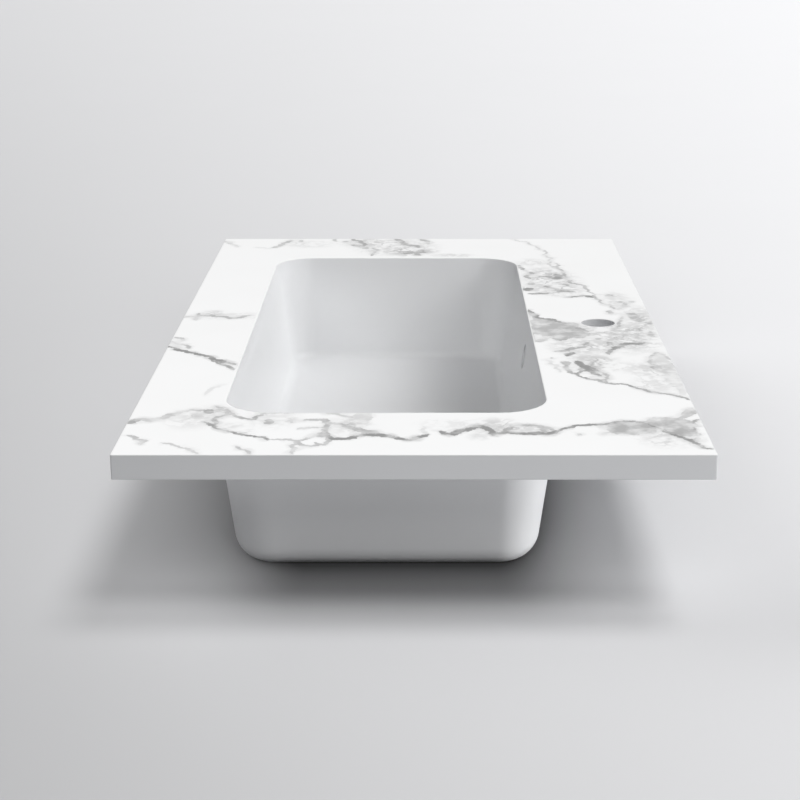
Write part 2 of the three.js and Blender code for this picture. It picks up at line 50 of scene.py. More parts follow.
slab = {
    "length": 900, "width": 500, "thickness": 22, "sheet": 0.8,
    "edgeRounding": 1.1, "lowerRounding": 1.0, "cornerRadius": 1.5, "edgeStep": 3, "rebateGap": 1,
    "tapY": 191.7, "tapRadius": 17.5, "tapChamfer": 0.6,
    "insertRadius": 4.4, "insertDepth": 12.1, "mouthRadius": 5.35, "mouthDepth": 1.3,
}
basin = {
    "length": 660, "width": 290, "cornerRadius": 45, "middleY": -26, "draft": 8.3, "wall": 13,
    "depth": 123, "floorFall": 6, "floorThickness": 17, "floorFillet": 12, "bottomFillet": 26,
    "flangeInset": -33.25, "flange": 10, "flangeRounding": 0.8, "flangeFoot": 1, "neckFillet": 3,
    "endLean": 15, "leanReach": 165, "leanRamp": 90,
    "recessDepth": 4, "recessRadius": 33, "recessLip": 1.2, "wasteHole": 23,
    "grooveReach": 17.5, "grooveHalf": 2.8, "grooveDepth": 1.5, "cornerSteps": 20, "filletSteps": 12,
}
overflow = {
    "radius": 12, "height": -14.5, "lip": 1.3,
    "halfBore": 17, "depth": 14, "wall": 3, "flange": 8, "flangeThickness": 2.5, "gap": 0.3, "collar": 27,
    "topReach": 4, "easing": 0.8,
}
lean = tan(radians(basin["draft"]))
floorEdgeZ = slab["thickness"] - basin["depth"]
floorLowZ = floorEdgeZ - basin["floorFall"]
bottomZ = floorLowZ - basin["floorThickness"]
bowlY = basin["middleY"]


def newObject(name, data):
    made = bpy.data.objects.new(name, data)
    bpy.context.scene.collection.objects.link(made)
    return made


def makePiece(name, points, faces):
    # points in millimetres; doubled points are merged and the faces turned outwards
    mesh = bpy.data.meshes.new(name)
    mesh.from_pydata([Vector(p) * toMetres for p in points], [], faces)
    work = bmesh.new()
    work.from_mesh(mesh)
    bmesh.ops.remove_doubles(work, verts=work.verts, dist=1e-7)
    bmesh.ops.dissolve_degenerate(work, edges=work.edges, dist=1e-7)
    bmesh.ops.recalc_face_normals(work, faces=work.faces)
    work.to_mesh(mesh)
    work.free()
    return newObject(name, mesh)


def applyModifiers(piece):
    bpy.context.view_layer.update()
    live = piece.evaluated_get(bpy.context.evaluated_depsgraph_get())
    mesh = bpy.data.meshes.new_from_object(live)
    piece.modifiers.clear()
    piece.data = mesh
    return piece


def combine(piece, operation, *tools):
    # tools are joined to the piece, cut from it, or kept where both are
    for tool in tools:
        step = piece.modifiers.new(operation, "BOOLEAN")
        step.operation, step.solver, step.object = operation, "MANIFOLD", tool
        applyModifiers(piece)
        bpy.data.objects.remove(tool)
    return piece


def soften(piece, width, segments=3, angle=35):
    step = piece.modifiers.new("edges", "BEVEL")
    step.width, step.segments = width * toMetres, segments
    step.limit_method, step.angle_limit = "ANGLE", radians(angle)
    return applyModifiers(piece)


def dress(piece, slotName, *nodes, body="basin", angle=40):
    # the slot's finish, smooth faces with sharp edges, and the places in the frame
    piece.data.materials.clear()
    piece.data.materials.append(finishes[slotName])
    piece.data.shade_smooth()
    piece.data.set_sharp_from_angle(angle=radians(angle))
    flats = piece.modifiers.new("flats", "WEIGHTED_NORMAL")
    flats.keep_sharp = True
    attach(piece, body)
    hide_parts(*nodes)
    return piece


def roundedRing(halfLength, halfWidth, radius, z, middleY=0, steps=basin["cornerSteps"]):
    radius = max(radius, 0)
    points = []
    for corner, (alongSign, acrossSign) in enumerate(((1, 1), (-1, 1), (-1, -1), (1, -1))):
        for step in range(steps + 1):
            turn = radians(90 * (corner + step / steps))
            points.append((
                alongSign * (halfLength - radius) + radius * cos(turn),
                middleY + acrossSign * (halfWidth - radius) + radius * sin(turn),
                z,
            ))
    return points


def rimRing(inset, z):
    return roundedRing(basin["length"] / 2 - inset, basin["width"] / 2 - inset,
                       basin["cornerRadius"] - inset, z, bowlY)


def slabRing(inset, z, steps=6):
    # with points along its sides too, so that the veins can run over its edge
    corners = roundedRing(slab["length"] / 2 - inset, slab["width"] / 2 - inset,
                          slab["cornerRadius"] - inset, z, steps=steps)
    ring = []
    for side in range(4):
        ring += corners[side * (steps + 1):(side + 1) * (steps + 1)]
        start, end = Vector(ring[-1]), Vector(corners[(side + 1) * (steps + 1) % len(corners)])
        count = int((slab["width"] if side % 2 else slab["length"]) / slab["edgeStep"])
        ring += [tuple(start.lerp(end, i / count)) for i in range(1, count)]
    return ring


def circleRing(radius, z, middleY=bowlY, steps=basin["cornerSteps"]):
    return roundedRing(radius, radius, radius, z, middleY, steps)


def wallInset(z):
    return (slab["thickness"] - z) * lean


def lofted(rings, looped=False):
    count = len(rings[0])
    faces = []
    for band in range(len(rings) - (0 if looped else 1)):
        low, high = band * count, (band + 1) % len(rings) * count
        faces += [(low + i, low + (i + 1) % count, high + (i + 1) % count, high + i) for i in range(count)]
    return [point for ring in rings for point in ring], faces


def eased(profile, radius, steps=4):
    # the corners of a closed profile rounded off, apart from those on the axis
    made = []
    for i, corner in enumerate(profile):
        before, after = Vector(profile[i - 1]), Vector(profile[(i + 1) % len(profile)])
        corner = Vector(corner)
        reach = min(radius, (before - corner).length * 0.45, (after - corner).length * 0.45)
        if corner.x < 1e-6 or reach < 0.02:
            made.append(tuple(corner))
            continue
        start = corner + (before - corner).normalized() * reach
        end = corner + (after - corner).normalized() * reach
        for step in range(steps + 1):
            t = step / steps
            made.append(tuple(start * (1 - t) ** 2 + corner * 2 * t * (1 - t) + end * t ** 2))
    return made


def turnedPiece(name, profile, easing, steps=96, middle=(0, bowlY)):
    # radius and height pairs turned about an upright axis; the profile closes on itself
    turns = [tau * i / steps for i in range(steps)]
    points, faces = lofted([
        [(middle[0] + radius * cos(t), middle[1] + radius * sin(t), z) for t in turns]
        for radius, z in (eased(profile, easing) if easing else profile)
    ], looped=True)
    return makePiece(name, points, [face for face in faces if len(set(points[i] for i in face)) > 2])


def prism(name, outline, low, high, sideways=False):
    # a flat outline raised from low to high, or drawn out along the slab
    count = len(outline)
    points = []
    for end in (low, high):
        for a, b in outline:
            points.append((end, a, b) if sideways else (a, b, end))
    faces = [tuple(range(count)), tuple(range(count, 2 * count))]
    faces += [(i, (i + 1) % count, count + (i + 1) % count, count + i) for i in range(count)]
    return makePiece(name, points, faces)


def box(name, low, high):
    return prism(name, [(low[0], low[1]), (high[0], low[1]), (high[0], high[1]), (low[0], high[1])], low[2], high[2])


def insideLoop(places, loop):
    # which places lie inside a closed loop of points
    x, y = places[:, 0], places[:, 1]
    inside = np.zeros(len(places), bool)
    for (x0, y0), (x1, y1) in zip(loop, loop[1:] + loop[:1]):
        if y0 != y1:
            inside ^= ((y0 > y) != (y1 > y)) & (x < (x1 - x0) * (y - y0) / (y1 - y0) + x0)
    return inside


def flatSheet(outside, holes, dots=(), lines=()):
    # triangles between an outline and its holes, through the dots and along the lines
    loops = [[point[:2] for point in loop] for loop in (outside, *holes)]
    points, edges = [], []
    for loop in loops:
        start = len(points)
        points += loop
        edges += [(start + i, start + (i + 1) % len(loop)) for i in range(len(loop))]
    for line in lines:
        start = len(points)
        points += line
        edges += [(start + i, start + i + 1) for i in range(len(line) - 1)]
    points += list(dots)
    made, _, faces, *_ = delaunay_2d_cdt([Vector(p) for p in points], edges, [], 0, 1e-4)
    made, faces = np.array([tuple(p) for p in made]), np.array(faces)
    centres = made[faces].mean(axis=1)
    keep = insideLoop(centres, loops[0])
    for loop in loops[1:]:
        keep &= ~insideLoop(centres, loop)
    return made, faces[keep]


# Slab

def upperEdge(flatInset, cornerInset, footInset, shares):
    # inset and height pairs down a rounded upper edge, from the flat at share 0 to the foot at share 1
    drop = slab["edgeRounding"]
    return [((1 - t) ** 2 * flatInset + 2 * t * (1 - t) * cornerInset + t * t * footInset,
             slab["thickness"] - drop * t * t) for t in shares]


seamShare = sqrt(slab["sheet"] / slab["edgeRounding"])
sheetShares = [seamShare * i / 4 for i in range(5)]
coreShares = [1, (1 + seamShare) / 2, seamShare]
rimFoot = wallInset(slab["thickness"] - slab["edgeRounding"])


def slabEdges(shares):
    # the rounded upper edges of the slab, of the bowl's opening and of the tap hole, each as rings
    rounding = slab["edgeRounding"]
    return (
        [slabRing(inset, z) for inset, z in upperEdge(rounding, 0, 0, shares)],
        [rimRing(inset, z) for inset, z in upperEdge(-rounding, 0, rimFoot, shares)],
        [circleRing(slab["tapRadius"] - inset, z, slab["tapY"]) for inset, z in upperEdge(-rounding, 0, 0, shares)],
    )


def gather(parts):
    # several lots of points and faces as one
    points, faces = [], []
    for morePoints, moreFaces in parts:
        start = len(points)
        points += [tuple(p) for p in morePoints]
        faces += [tuple(start + int(i) for i in face) for face in moreFaces]
    return points, faces


def atHeight(sheet, z):
    return [(x, y, z) for x, y in sheet[0]], sheet[1]


def buildSlab():
    outer, rim, tap = slabEdges(coreShares)
    seamZ = outer[-1][0][2]
    low = slab["lowerRounding"]
    foot = [slabRing(low * (1 - t) ** 2, low * t * t) for t in (0, 0.33, 0.66, 1)]
    rebate = [rimRing(basin["flangeInset"] - slab["rebateGap"], z) for z in (0, basin["flange"])]
    lip = rimRing(wallInset(basin["flange"]), basin["flange"])
    holes, mouths = [], []
    for x, y in clipPlaces():
        hole = [circleRing(radius, z, 0, 6) for radius, z in (
            (slab["mouthRadius"], 0), (slab["mouthRadius"], slab["mouthDepth"]),
            (slab["insertRadius"], slab["mouthDepth"]), (slab["insertRadius"], slab["insertDepth"]))]
        hole = [[(x + a, y + b, c) for a, b, c in ring] for ring in hole]
        holes.append(lofted(hole))
        holes.append((hole[-1], [tuple(range(len(hole[-1])))]))
        mouths.append(hole[0])
    tapFoot = [circleRing(slab["tapRadius"] + slab["tapChamfer"] - z, z, slab["tapY"])
               for z in (0, slab["tapChamfer"])]
    return makePiece("slabCore", *gather([
        *[lofted(rings) for rings in (foot + outer, rebate, [rebate[-1], lip], tapFoot + tap)],
        atHeight(flatSheet(outer[-1], [rim[-1], tap[-1]]), seamZ),
        atHeight(flatSheet(foot[0], [rebate[0], tapFoot[0], *mouths]), 0),
        *holes,
        lofted([lip] + rim),
    ]))


def clipPlaces():
    # the screws, front row first
    return [((i - (fixings["count"] - 1) / 2) * fixings["spacing"], bowlY + side * fixings["reach"])
            for side in (-1, 1) for i in range(fixings["count"])]


# Marble sheet. Each vein is a route over the slab: its width, its darkness and its turns, x along and y across.
marble = {"seed": 7, "roughness": 0.13, "reach": 2.6, "grid": 6, "jitter": 0.2, "feather": 3, "spread": 12,
          "margin": 0.3, "swell": 0.16, "settle": 0.35, "thinnest": 0.45, "endShare": 0.35, "endRise": 5,
          "cloudReach": 1.25, "cloudSoft": 0.95}
veinRoutes = """
# near the camera's end, on the left
3 0.85 410,-124 402,-127 401,-135 397,-143 392,-152 387,-159 380,-168 370,-173 358,-183
3 0.7 370,-172 343,-172 310,-178
9 0.85 331,-182 323,-182
3 0.6 310,-178 322,-172 330,-163 342,-157 348,-150 352,-143 333,-135 331,-123 331,-113
3 0.5 322,-187 323,-200
6 0.8 363,-247 352,-242
7 0.45 348,-242 348,-220 337,-215 327,-202
3 0.5 423,-228 407,-235 397,-244
2.5 0.4 448,-178 442,-183 430,-195 418,-212
3 0.55 448,-135 437,-143 428,-148
3 0.45 448,-100 430,-102 422,-99 413,-97 408,-105 408,-123
3 0.5 415,-97 425,-93 427,-85 422,-80 417,-83
3 0.5 425,-75 403,-74
3 0.5 410,-95 400,-85 390,-80
9 0.75 399,-78 392,-78
5 0.95 393,-78 403,-72 407,-67 407,-58 400,-50 396,-42 395,-30 398,-22 407,-13 410,-5 408,0 400,8 395,12
3 0.25 395,12 372,8
8 0.55 393,-33 387,-42 377,-50 368,-60
4 0.6 368,-60 363,-70 357,-77 352,-80
4 0.5 367,-52 357,-52 343,-58 333,-75 328,-82
13 0.3 366,-48 347,-47 327,-45
5 0.5 331,-65 325,-65
4 0.5 388,-78 375,-77 363,-75 352,-78 353,-87 355,-97
4 0.35 380,-100 377,-93 375,-82
7 0.5 363,-127 352,-127
4 0.5 361,-107 349,-105
# the dark vein at the near end's middle, and its lower loop
6 1.0 385,22 392,25 395,33 387,37 383,45 377,50 370,55 372,58 378,62 387,67 397,67
5 0.9 390,67 392,73 388,80 392,90 392,100 394,113 390,120 385,123
4 0.6 390,73 378,82 368,83 367,93 368,103 375,113 383,120
4 0.5 392,112 378,113
4 0.85 385,123 377,130 370,138 368,150 367,160 363,170 358,178 357,187 359,198 358,201
3 0.4 395,160 388,167
5 0.5 397,140 393,141
# the near right corner
3 0.85 365,203 375,210 388,217 400,225 410,233 420,237 432,240 435,248
3 0.8 388,235 372,239 358,242 352,248
4 0.6 358,201 350,207 348,215 350,230
9 0.5 347,233 333,240 317,247
5 0.8 359,217 355,219
# from the right edge inwards
3 0.75 291,249 282,243 274,235 270,228 266,221 260,213 253,206 242,199 237,192 238,185 235,179 231,175 223,168 \
216,160 209,154
3 0.7 231,177 220,181 209,182 198,178 185,171 174,166
6 0.9 210,175 202,170 191,166 181,164 167,160 156,156
4 0.7 210,156 202,153 188,157 174,161
4 0.6 203,150 188,147 167,146 160,142
8 0.55 165,146 160,144
3 0.3 196,138 170,134 151,127
5 0.5 147,133 143,133
4 0.8 137,149 124,156
4 0.45 184,229 160,228 139,232 124,239 139,246 167,249
7 0.25 275,246 230,245 180,244
# beside the tap hole
6 0.8 30,166 19,161 9,153 -6,146 -14,138 -27,127 -41,124 -57,121
5 0.8 130,191 119,193 105,199 91,210 90,221 83,232
4 0.5 130,147 123,156
5 0.6 119,138 112,152 98,171 83,175
4 0.5 95,193 83,195
6 0.5 71,185 67,185
6 0.5 67,155 63,155
5 0.7 60,243 40,243
4 0.5 40,231 24,232
2.5 0.5 20,210 2,214 -10,217 -27,221
4 0.5 8,246 -3,245
8 0.45 -5,236 -13,238 -27,232 -42,227
4 0.5 -37,210 -53,209
4 0.5 -62,221 -70,225
# the right side, further away
2.5 0.55 -60,220 -77,213 -90,203 -110,200 -132,200
4 0.5 -62,220 -73,227 -93,230
6 0.5 -92,225 -97,226
7 0.5 -94,237 -97,237
9 0.5 -125,215 -129,215
6 0.8 -117,167 -125,185 -117,195
3 0.5 -138,198 -167,192 -187,182 -205,177 -248,172 -273,168 -300,167
5 0.7 -135,125 -138,148
9 0.8 -153,127 -162,127
4 0.6 -153,157 -167,150 -175,147
6 0.6 -150,153 -145,177
4 0.5 -173,173 -182,168
9 0.5 -183,132 -187,132
7 0.7 -210,158 -237,163
5 0.6 -228,140 -223,157
4 0.6 -213,132 -237,135 -248,133
5 0.6 -260,126 -288,123
2 0.4 -270,167 -330,165 -370,157 -395,150 -420,140 -440,125 -449,120
# the far end
5 0.35 -435,-249 -426,-242 -412,-236 -397,-229
3 0.25 -395,-206 -387,-188
5 0.55 -393,-185 -401,-177 -420,-173 -443,-165
4 0.4 -428,-152 -441,-154
3 0.55 -343,-58 -362,-55 -389,-58
7 0.6 -385,-65 -401,-73 -410,-85
5 0.6 -405,-69 -424,-73 -439,-83 -449,-85
4 0.5 -433,-106 -449,-108
5 0.4 -428,-96 -433,-92
7 0.7 -355,-17 -362,-4 -364,8
6 0.5 -345,2 -376,6
7 0.6 -393,0 -408,-4 -416,-17 -435,-23 -449,-29
5 0.6 -416,12 -435,10 -447,2
5 0.5 -441,-63 -447,-63
# the left side
5 1.0 100,-249 110,-240 118,-230 125,-220 135,-210 147,-200 155,-190 163,-182 168,-175
3 0.7 155,-200 165,-192 178,-180 188,-175
3 0.6 108,-228 92,-237 80,-248
4 0.5 77,-238 67,-240 62,-247
4 0.5 -10,-235 -42,-236
5 0.5 -24,-249 -30,-228 -27,-210 -18,-200 -25,-187 -33,-178
3 0.18 275,-192 260,-190 240,-178
"""
# areas filled with grey up to an edge: darkness and outline
veinFields = """
0.56 52,128 77,147 74,152 59,156 65,172 47,177 30,175 5,171 1,163 -3,150 -10,142 -19,135 -31,125 -50,120 0,119.5 \
46,119.5
0.5 77,120 83,125 59,131
0.6 362,168 380,165 394,172 396,190 392,204 374,208 360,203 357,186
0.55 352,204 368,203 386,214 400,228 396,243 372,246 356,240 349,222
0.25 186,229 160,228 139,232 124,239 139,246 167,249 205,249 262,247 232,236
"""
# soft clouds: middle, half sizes and darkness of each
veinClouds = """
342 -193 8 8 0.5  370 -158 12 12 0.4  388 -145 8 8 0.35  370 -60 28 26 0.34  348 -125 34 26 0.3  350 -195 34 26 0.3
370 70 26 22 0.6  400 55 12 10 0.4  380 98 18 26 0.45  365 30 16 30 0.25  400 215 34 28 0.5  411 238 8 8 0.5
170 178 26 24 0.8  167 172 10 10 0.5  145 172 14 28 0.6  185 225 34 28 0.5  60 215 70 40 0.7  -20 240 60 18 0.55
-105 222 44 18 0.4  100 165 38 34 0.6  30 175 34 26 0.5  240 225 34 24 0.35  -195 155 74 36 0.6  -150 165 30 28 0.45
-240 148 40 26 0.45  -303 138 24 24 0.4  -358 -10 18 16 0.7  -370 14 12 12 0.6  -387 -13 14 10 0.6
-371 -12 34 34 0.5  -400 -30 60 56 0.5  -425 -70 30 34 0.45  -344 42 14 28 0.5  -415 -140 26 36 0.3
-43 -220 16 14 0.45  -30 -205 18 50 0.3  330 -175 26 18 0.35
"""


def readRoutes(text, count):
    # from each line that isn't a note its first numbers and its places
    for line in text.strip().splitlines():
        if not line.startswith("#"):
            words = line.split()
            yield *map(float, words[:count]), [tuple(map(float, pair.split(","))) for pair in words[count:]]


def raggedRoute(route, rng, closed=False):
    # a route broken up into short uneven steps
    points = [Vector(p) for p in route]
    if closed:
        points.append(points[0].copy())
    while True:
        longer = []
        for a, b in zip(points, points[1:]):
            longer.append(a)
            span = b - a
            if span.length > marble["reach"]:
                longer.append((a + b) / 2 + Vector((-span.y, span.x)) * rng.gauss(0, marble["roughness"]))
        longer.append(points[-1])
        if len(longer) == len(points):
            return [tuple(p) for p in points]
        points = longer


def makeVeins():
    # centre lines with a half width at each point, and outlines of the filled areas
    m = marble
    rng = random.Random(m["seed"])
    lines = []
    for width, shade, route in readRoutes(veinRoutes, 2):
        line = raggedRoute(route, rng)
        halves, swell = [], 1.0
        for i in range(len(line)):
            swell += (1 - swell) * m["settle"] + rng.gauss(0, m["swell"])
            end = min(i, len(line) - 1 - i) / max(2, len(line) - 1)
            halves.append(width / 2 * max(m["thinnest"], swell) * min(1, m["endShare"] + m["endRise"] * end))
        lines.append((np.array(line), np.array(halves), shade))
    fields = [(np.array(raggedRoute(route, rng, closed=True)), shade) for shade, route in readRoutes(veinFields, 1)]
    return lines, fields


def routeDistance(places, line, halves):
    # how far each place is from the route's edge
    best = np.full(len(places), 1e9)
    for i in range(len(line) - 1):
        a, span = line[i], line[i + 1] - line[i]
        along = np.clip(((places - a) @ span) / max(span @ span, 1e-9), 0, 1)
        gap = np.hypot(*(places - a - along[:, None] * span).T)
        if halves is not None:
            gap = gap - (halves[i] + (halves[i + 1] - halves[i]) * along)
        best = np.minimum(best, gap)
    return best


def veinsAt(places, lines, fields):
    # for each place the distance from the nearest vein's edge, that vein's darkness, and how cloudy it is
    spread = marble["spread"]
    edge, shade = np.full(len(places), float(spread)), np.zeros(len(places))
    for line, halves, depth in lines + [(outline, None, depth) for outline, depth in fields]:
        low, high = line.min(axis=0) - spread, line.max(axis=0) + spread
        near = np.nonzero(((places > low) & (places < high)).all(axis=1))[0]
        gap = routeDistance(places[near], line, halves)
        if halves is None:
            gap = np.where(insideLoop(places[near], [tuple(p) for p in line]), -gap, gap)
        closer = gap < edge[near]
        edge[near[closer]], shade[near[closer]] = gap[closer], depth
    clear = np.ones(len(places))
    for x, y, halfX, halfY, depth in np.array(veinClouds.split(), float).reshape(-1, 5):
        away = np.hypot((places[:, 0] - x) / halfX, (places[:, 1] - y) / halfY)
        fall = np.clip((marble["cloudReach"] - away) / marble["cloudSoft"], 0, 1)
        clear *= 1 - depth * fall * fall * (3 - 2 * fall)
    return edge, shade, 1 - clear


def buildMarble():
    m = marble
    outer, rim, tap = slabEdges(sheetShares)
    lines, fields = makeVeins()
    dots, routes = [], []
    for line, halves, _ in lines:
        routes.append([tuple(p) for p in line])
        along = np.gradient(line, axis=0)
        side = np.stack([-along[:, 1], along[:, 0]], axis=1) / np.maximum(np.hypot(*along.T), 1e-6)[:, None]
        for turn in (-1, 1):
            for reach in (0, m["feather"]):
                dots += [tuple(p) for p in line + turn * side * (halves[:, None] + reach)]
    routes += [[tuple(p) for p in outline] for outline, _ in fields]

    def cell(place):
        return tuple(round(c / m["feather"]) for c in place)

    taken = {cell(dot) for dot in dots}
    rng = random.Random(m["seed"])
    halfCounts = [int(slab[size] / 2 / m["grid"]) for size in ("length", "width")]
    for i in range(1 - halfCounts[0], halfCounts[0]):
        for j in range(1 - halfCounts[1], halfCounts[1]):
            place = tuple((n + rng.uniform(-m["jitter"], m["jitter"])) * m["grid"] for n in (i, j))
            if cell(place) not in taken:
                dots.append(place)
    limitX, limitY = [slab[size] / 2 - slab["edgeRounding"] - m["margin"] for size in ("length", "width")]
    dots = [(x, y) for x, y in dots if abs(x) < limitX and abs(y) < limitY]
    routes = [[(max(-limitX, min(limitX, x)), max(-limitY, min(limitY, y))) for x, y in route] for route in routes]
    piece = makePiece("marbleSurface", *gather([
        atHeight(flatSheet(outer[0], [rim[0], tap[0]], dots, routes), slab["thickness"]),
        *[lofted(rings) for rings in (outer, rim, tap)],
        atHeight(flatSheet(outer[-1], [rim[-1], tap[-1]]), outer[-1][0][2]),
    ]))
    places = np.array([v.co for v in piece.data.vertices]) / toMetres
    edge, shade, cloud = veinsAt(places[:, :2], lines, fields)
    # the rims of the openings stay clear
    border = slab["edgeRounding"] + 0.1
    veined = (places[:, 2] > slab["thickness"] - 0.01) | (abs(places[:, 0]) > slab["length"] / 2 - border)
    veined |= abs(places[:, 1]) > slab["width"] / 2 - border
    for name, values, off in (("veinEdge", edge, m["spread"]), ("veinShade", shade, 0), ("cloud", cloud, 0)):
        attribute = piece.data.attributes.new(name, "FLOAT", "POINT")
        attribute.data.foreach_set("value", np.where(veined, values, off).astype(np.float32))
    return piece


# Bowl

def footCurve(offset, footZ, radius):
    # the fillet at the foot of a leaning wall, as inset and height pairs from the wall to the foot
    tilt = radians(basin["draft"])
    centreZ = footZ + radius
    centreInset = wallInset(centreZ) - offset + radius / cos(tilt)
    steps = basin["filletSteps"]
    turns = [pi + tilt + (pi / 2 - tilt) * step / steps for step in range(steps + 1)]
    return [(centreInset + radius * cos(turn), centreZ + radius * sin(turn)) for turn in turns]


def steeper(ring):
    # the end walls lean less outside than inside
    start = basin["length"] / 2 - basin["leanReach"]
    made = []
    for x, y, z in ring:
        share = min(1, max(0, abs(x) - start) / basin["leanRamp"])
        made.append((x + copysign(basin["endLean"] * (z / bottomZ) ** 2 * share, x), y, z))
    return made


def buildBowl():
    b, flange, outside = basin, basin["flange"], basin["flangeInset"]
    upper, lower = basin["flangeRounding"], basin["flangeFoot"]
    groove, half, bed = outside + b["grooveReach"], b["grooveHalf"], flange - b["grooveDepth"]
    rings = [circleRing(radius, floorLowZ - b["recessDepth"]) for radius in (b["wasteHole"], b["recessRadius"])]
    rings += [circleRing(b["recessRadius"] + b["recessLip"] * t * t, floorLowZ - b["recessLip"] * (1 - t) ** 2)
              for t in (0, 0.35, 0.7, 1)]
    rings += [rimRing(inset, z) for inset, z in reversed(footCurve(0, floorEdgeZ, b["floorFillet"]))]
    rings += [rimRing(inset, z) for inset, z in (
        (wallInset(flange), flange), (groove + half, flange), (groove + half, bed), (groove - half, bed),
        (groove - half, flange), (outside + upper, flange), (outside + upper / 4, flange - upper / 4),
        (outside, flange - upper), (outside, lower), (outside + lower * 0.3, lower * 0.3), (outside + lower, 0),
    )]
    under, neck = wallInset(0) - b["wall"], b["neckFillet"]
    rings += [rimRing(under - neck * (1 - t) ** 2, -neck * t * t) for t in (0, 0.25, 0.5, 0.75, 1)]
    rings += [steeper(rimRing(inset, z)) for inset, z in footCurve(b["wall"], bottomZ, b["bottomFillet"])]
    rings += [circleRing(b["wasteHole"], bottomZ)]
    made = makePiece("washBowl", *lofted(rings, looped=True))
    radius, lip, inner, outer = overflow["radius"], overflow["lip"], 8, -20
    drill = turnedPiece("overflowDrill", [(0, outer), (radius, outer), (radius, -lip)] + [
        (radius + lip * (1 - cos(t)), -lip + lip * sin(t)) for t in (0.4, 0.8, 1.2, pi / 2)
    ] + [(radius + lip, inner), (0, inner)], easing=0, steps=72, middle=(0, 0))
    # along the wall's own normal, with its mouth in the inner face
    drill.data.transform(Matrix.Rotation(radians(90 + b["draft"]), 4, "X"))
    mouthY = bowlY + b["width"] / 2 - wallInset(overflow["height"])
    drill.data.transform(Matrix.Translation(Vector((0, mouthY, overflow["height"])) * toMetres))
    return combine(made, "DIFFERENCE", drill)


# Overflow duct, a half shell bonded behind and under the bowl

def ductFace(distance, topZ):
    offset = basin["wall"] + distance / cos(radians(basin["draft"]))
    top = [(wallInset(topZ) - offset, topZ)]
    foot = footCurve(offset, bottomZ - distance, basin["bottomFillet"] + distance)
    edge = bowlY + basin["width"] / 2
    return [(edge - inset, z) for inset, z in top + foot] + [(bowlY, bottomZ - distance)]


def ductBand(name, near, far, halfWidth, topZ):
    return prism(name, ductFace(near, topZ) + ductFace(far, topZ)[::-1], -halfWidth, halfWidth, sideways=True)


def ringPiece(name, inner, outer, low, high, easing=0.4, steps=96):
    return turnedPiece(name, [(inner, low), (outer, low), (outer, high), (inner, high)], easing, steps)


def buildDuct():
    d = overflow
    halfShell = d["halfBore"] + d["wall"]
    halfFlange = halfShell + d["flange"]
    gap, lipDepth, hollow = d["gap"], d["gap"] + d["flangeThickness"], d["gap"] + d["depth"]
    outside, collar = hollow + d["wall"], d["collar"] + d["wall"]
    backY = bowlY + basin["width"] / 2 - wallInset(-gap) + basin["wall"]
    duct = combine(
        ductBand("overflowDuct", gap, outside, halfShell, -gap), "UNION",
        ductBand("flangeBand", gap, lipDepth, halfFlange, -gap),
        ringPiece("collarBar", 0, collar, bottomZ - outside, bottomZ - gap, 0),
        ringPiece("collarFlange", 0, collar + d["flange"], bottomZ - lipDepth, bottomZ - gap, 0),
        box("topFlange", (-halfFlange, backY + gap, -lipDepth), (halfFlange, backY + outside + d["topReach"], -gap)),
    )
    soften(duct, d["easing"])
    return combine(
        duct, "DIFFERENCE",
        ductBand("ductHollow", -past, hollow, d["halfBore"], past),
        ringPiece("collarHollow", 0, d["collar"], bottomZ - hollow, bottomZ + past, 0),
        ringPiece("tubeHole", 0, waste["fit"], bottomZ - outside - past, bottomZ, 0),
    )


# Waste, with its thread
waste = {
    "top": -106, "seat": -107.5, "underside": -109.5, "end": -176.8, "flange": 32, "mouth": 26, "tube": 20.75,
    "rimInset": 0.6, "rimFall": 1.4, "armBite": 1.4,
    "bore": 18, "fit": 21.15, "slotTop": -126.3, "slotBottom": -136.3, "slotWidth": 13,
    "hubTop": -137, "hubBottom": -145, "hub": 8, "hubHole": 5.2, "armHalf": 1.5,
    "threadTop": -146.5, "pitch": 1.8, "ridge": 0.55, "sink": 0.25, "threadEnd": 1.5,
    "gasketFoot": -111, "gasket": 31.5, "ductBottom": -141.3, "coneTop": 29, "coneFoot": 26, "coneBottom": -146.3,
    "washerBottom": -147.8, "washer": 27, "nutBottom": -156.8, "nutRim": 2.5, "nutHalf": 25, "nutChamfer": 2.2,
    "nutEdge": 25.3, "nutMouth": 23, "nutLead": 1.2,
}


class Value:
    # a node's output, which is reckoned with like a number
    def __init__(self, tree, socket):
        self.tree, self.socket = tree, socket

    def feed(self, socket):
        self.tree.links.new(self.socket, socket)

    def to(self, operation, *others):
        return added(self.tree, "ShaderNodeMath", *enumerate((self, *others)), operation=operation)

    def __add__(self, other):
        return self.to("ADD", other)

    def __sub__(self, other):
        return self.to("SUBTRACT", other)

    def __rsub__(self, other):
        return added(self.tree, "ShaderNodeMath", (0, other), (1, self), operation="SUBTRACT")

    def __mul__(self, other):
        return self.to("MULTIPLY", other)

    def __truediv__(self, other):
        return self.to("DIVIDE", other)

    def __rtruediv__(self, other):
        return added(self.tree, "ShaderNodeMath", (0, other), (1, self), operation="DIVIDE")

    def ranged(self, low, high, toLow, toHigh, smooth=False):
        return added(self.tree, "ShaderNodeMapRange", *enumerate((self, low, high, toLow, toHigh)),
                     interpolation_type="SMOOTHSTEP" if smooth else "LINEAR")

    def noise(self, scale, detail=3):
        return added(self.tree, "ShaderNodeTexNoise", ("Scale", scale), ("Detail", detail), ("Vector", self))

    def tinted(self, *colours):
        # from the first colour to the second
        ends = [c if isinstance(c, Value) else (*c, 1) for c in colours]
        return added(self.tree, "ShaderNodeMix", ("Factor", self), *enumerate(ends, 6), output=2, data_type="RGBA")


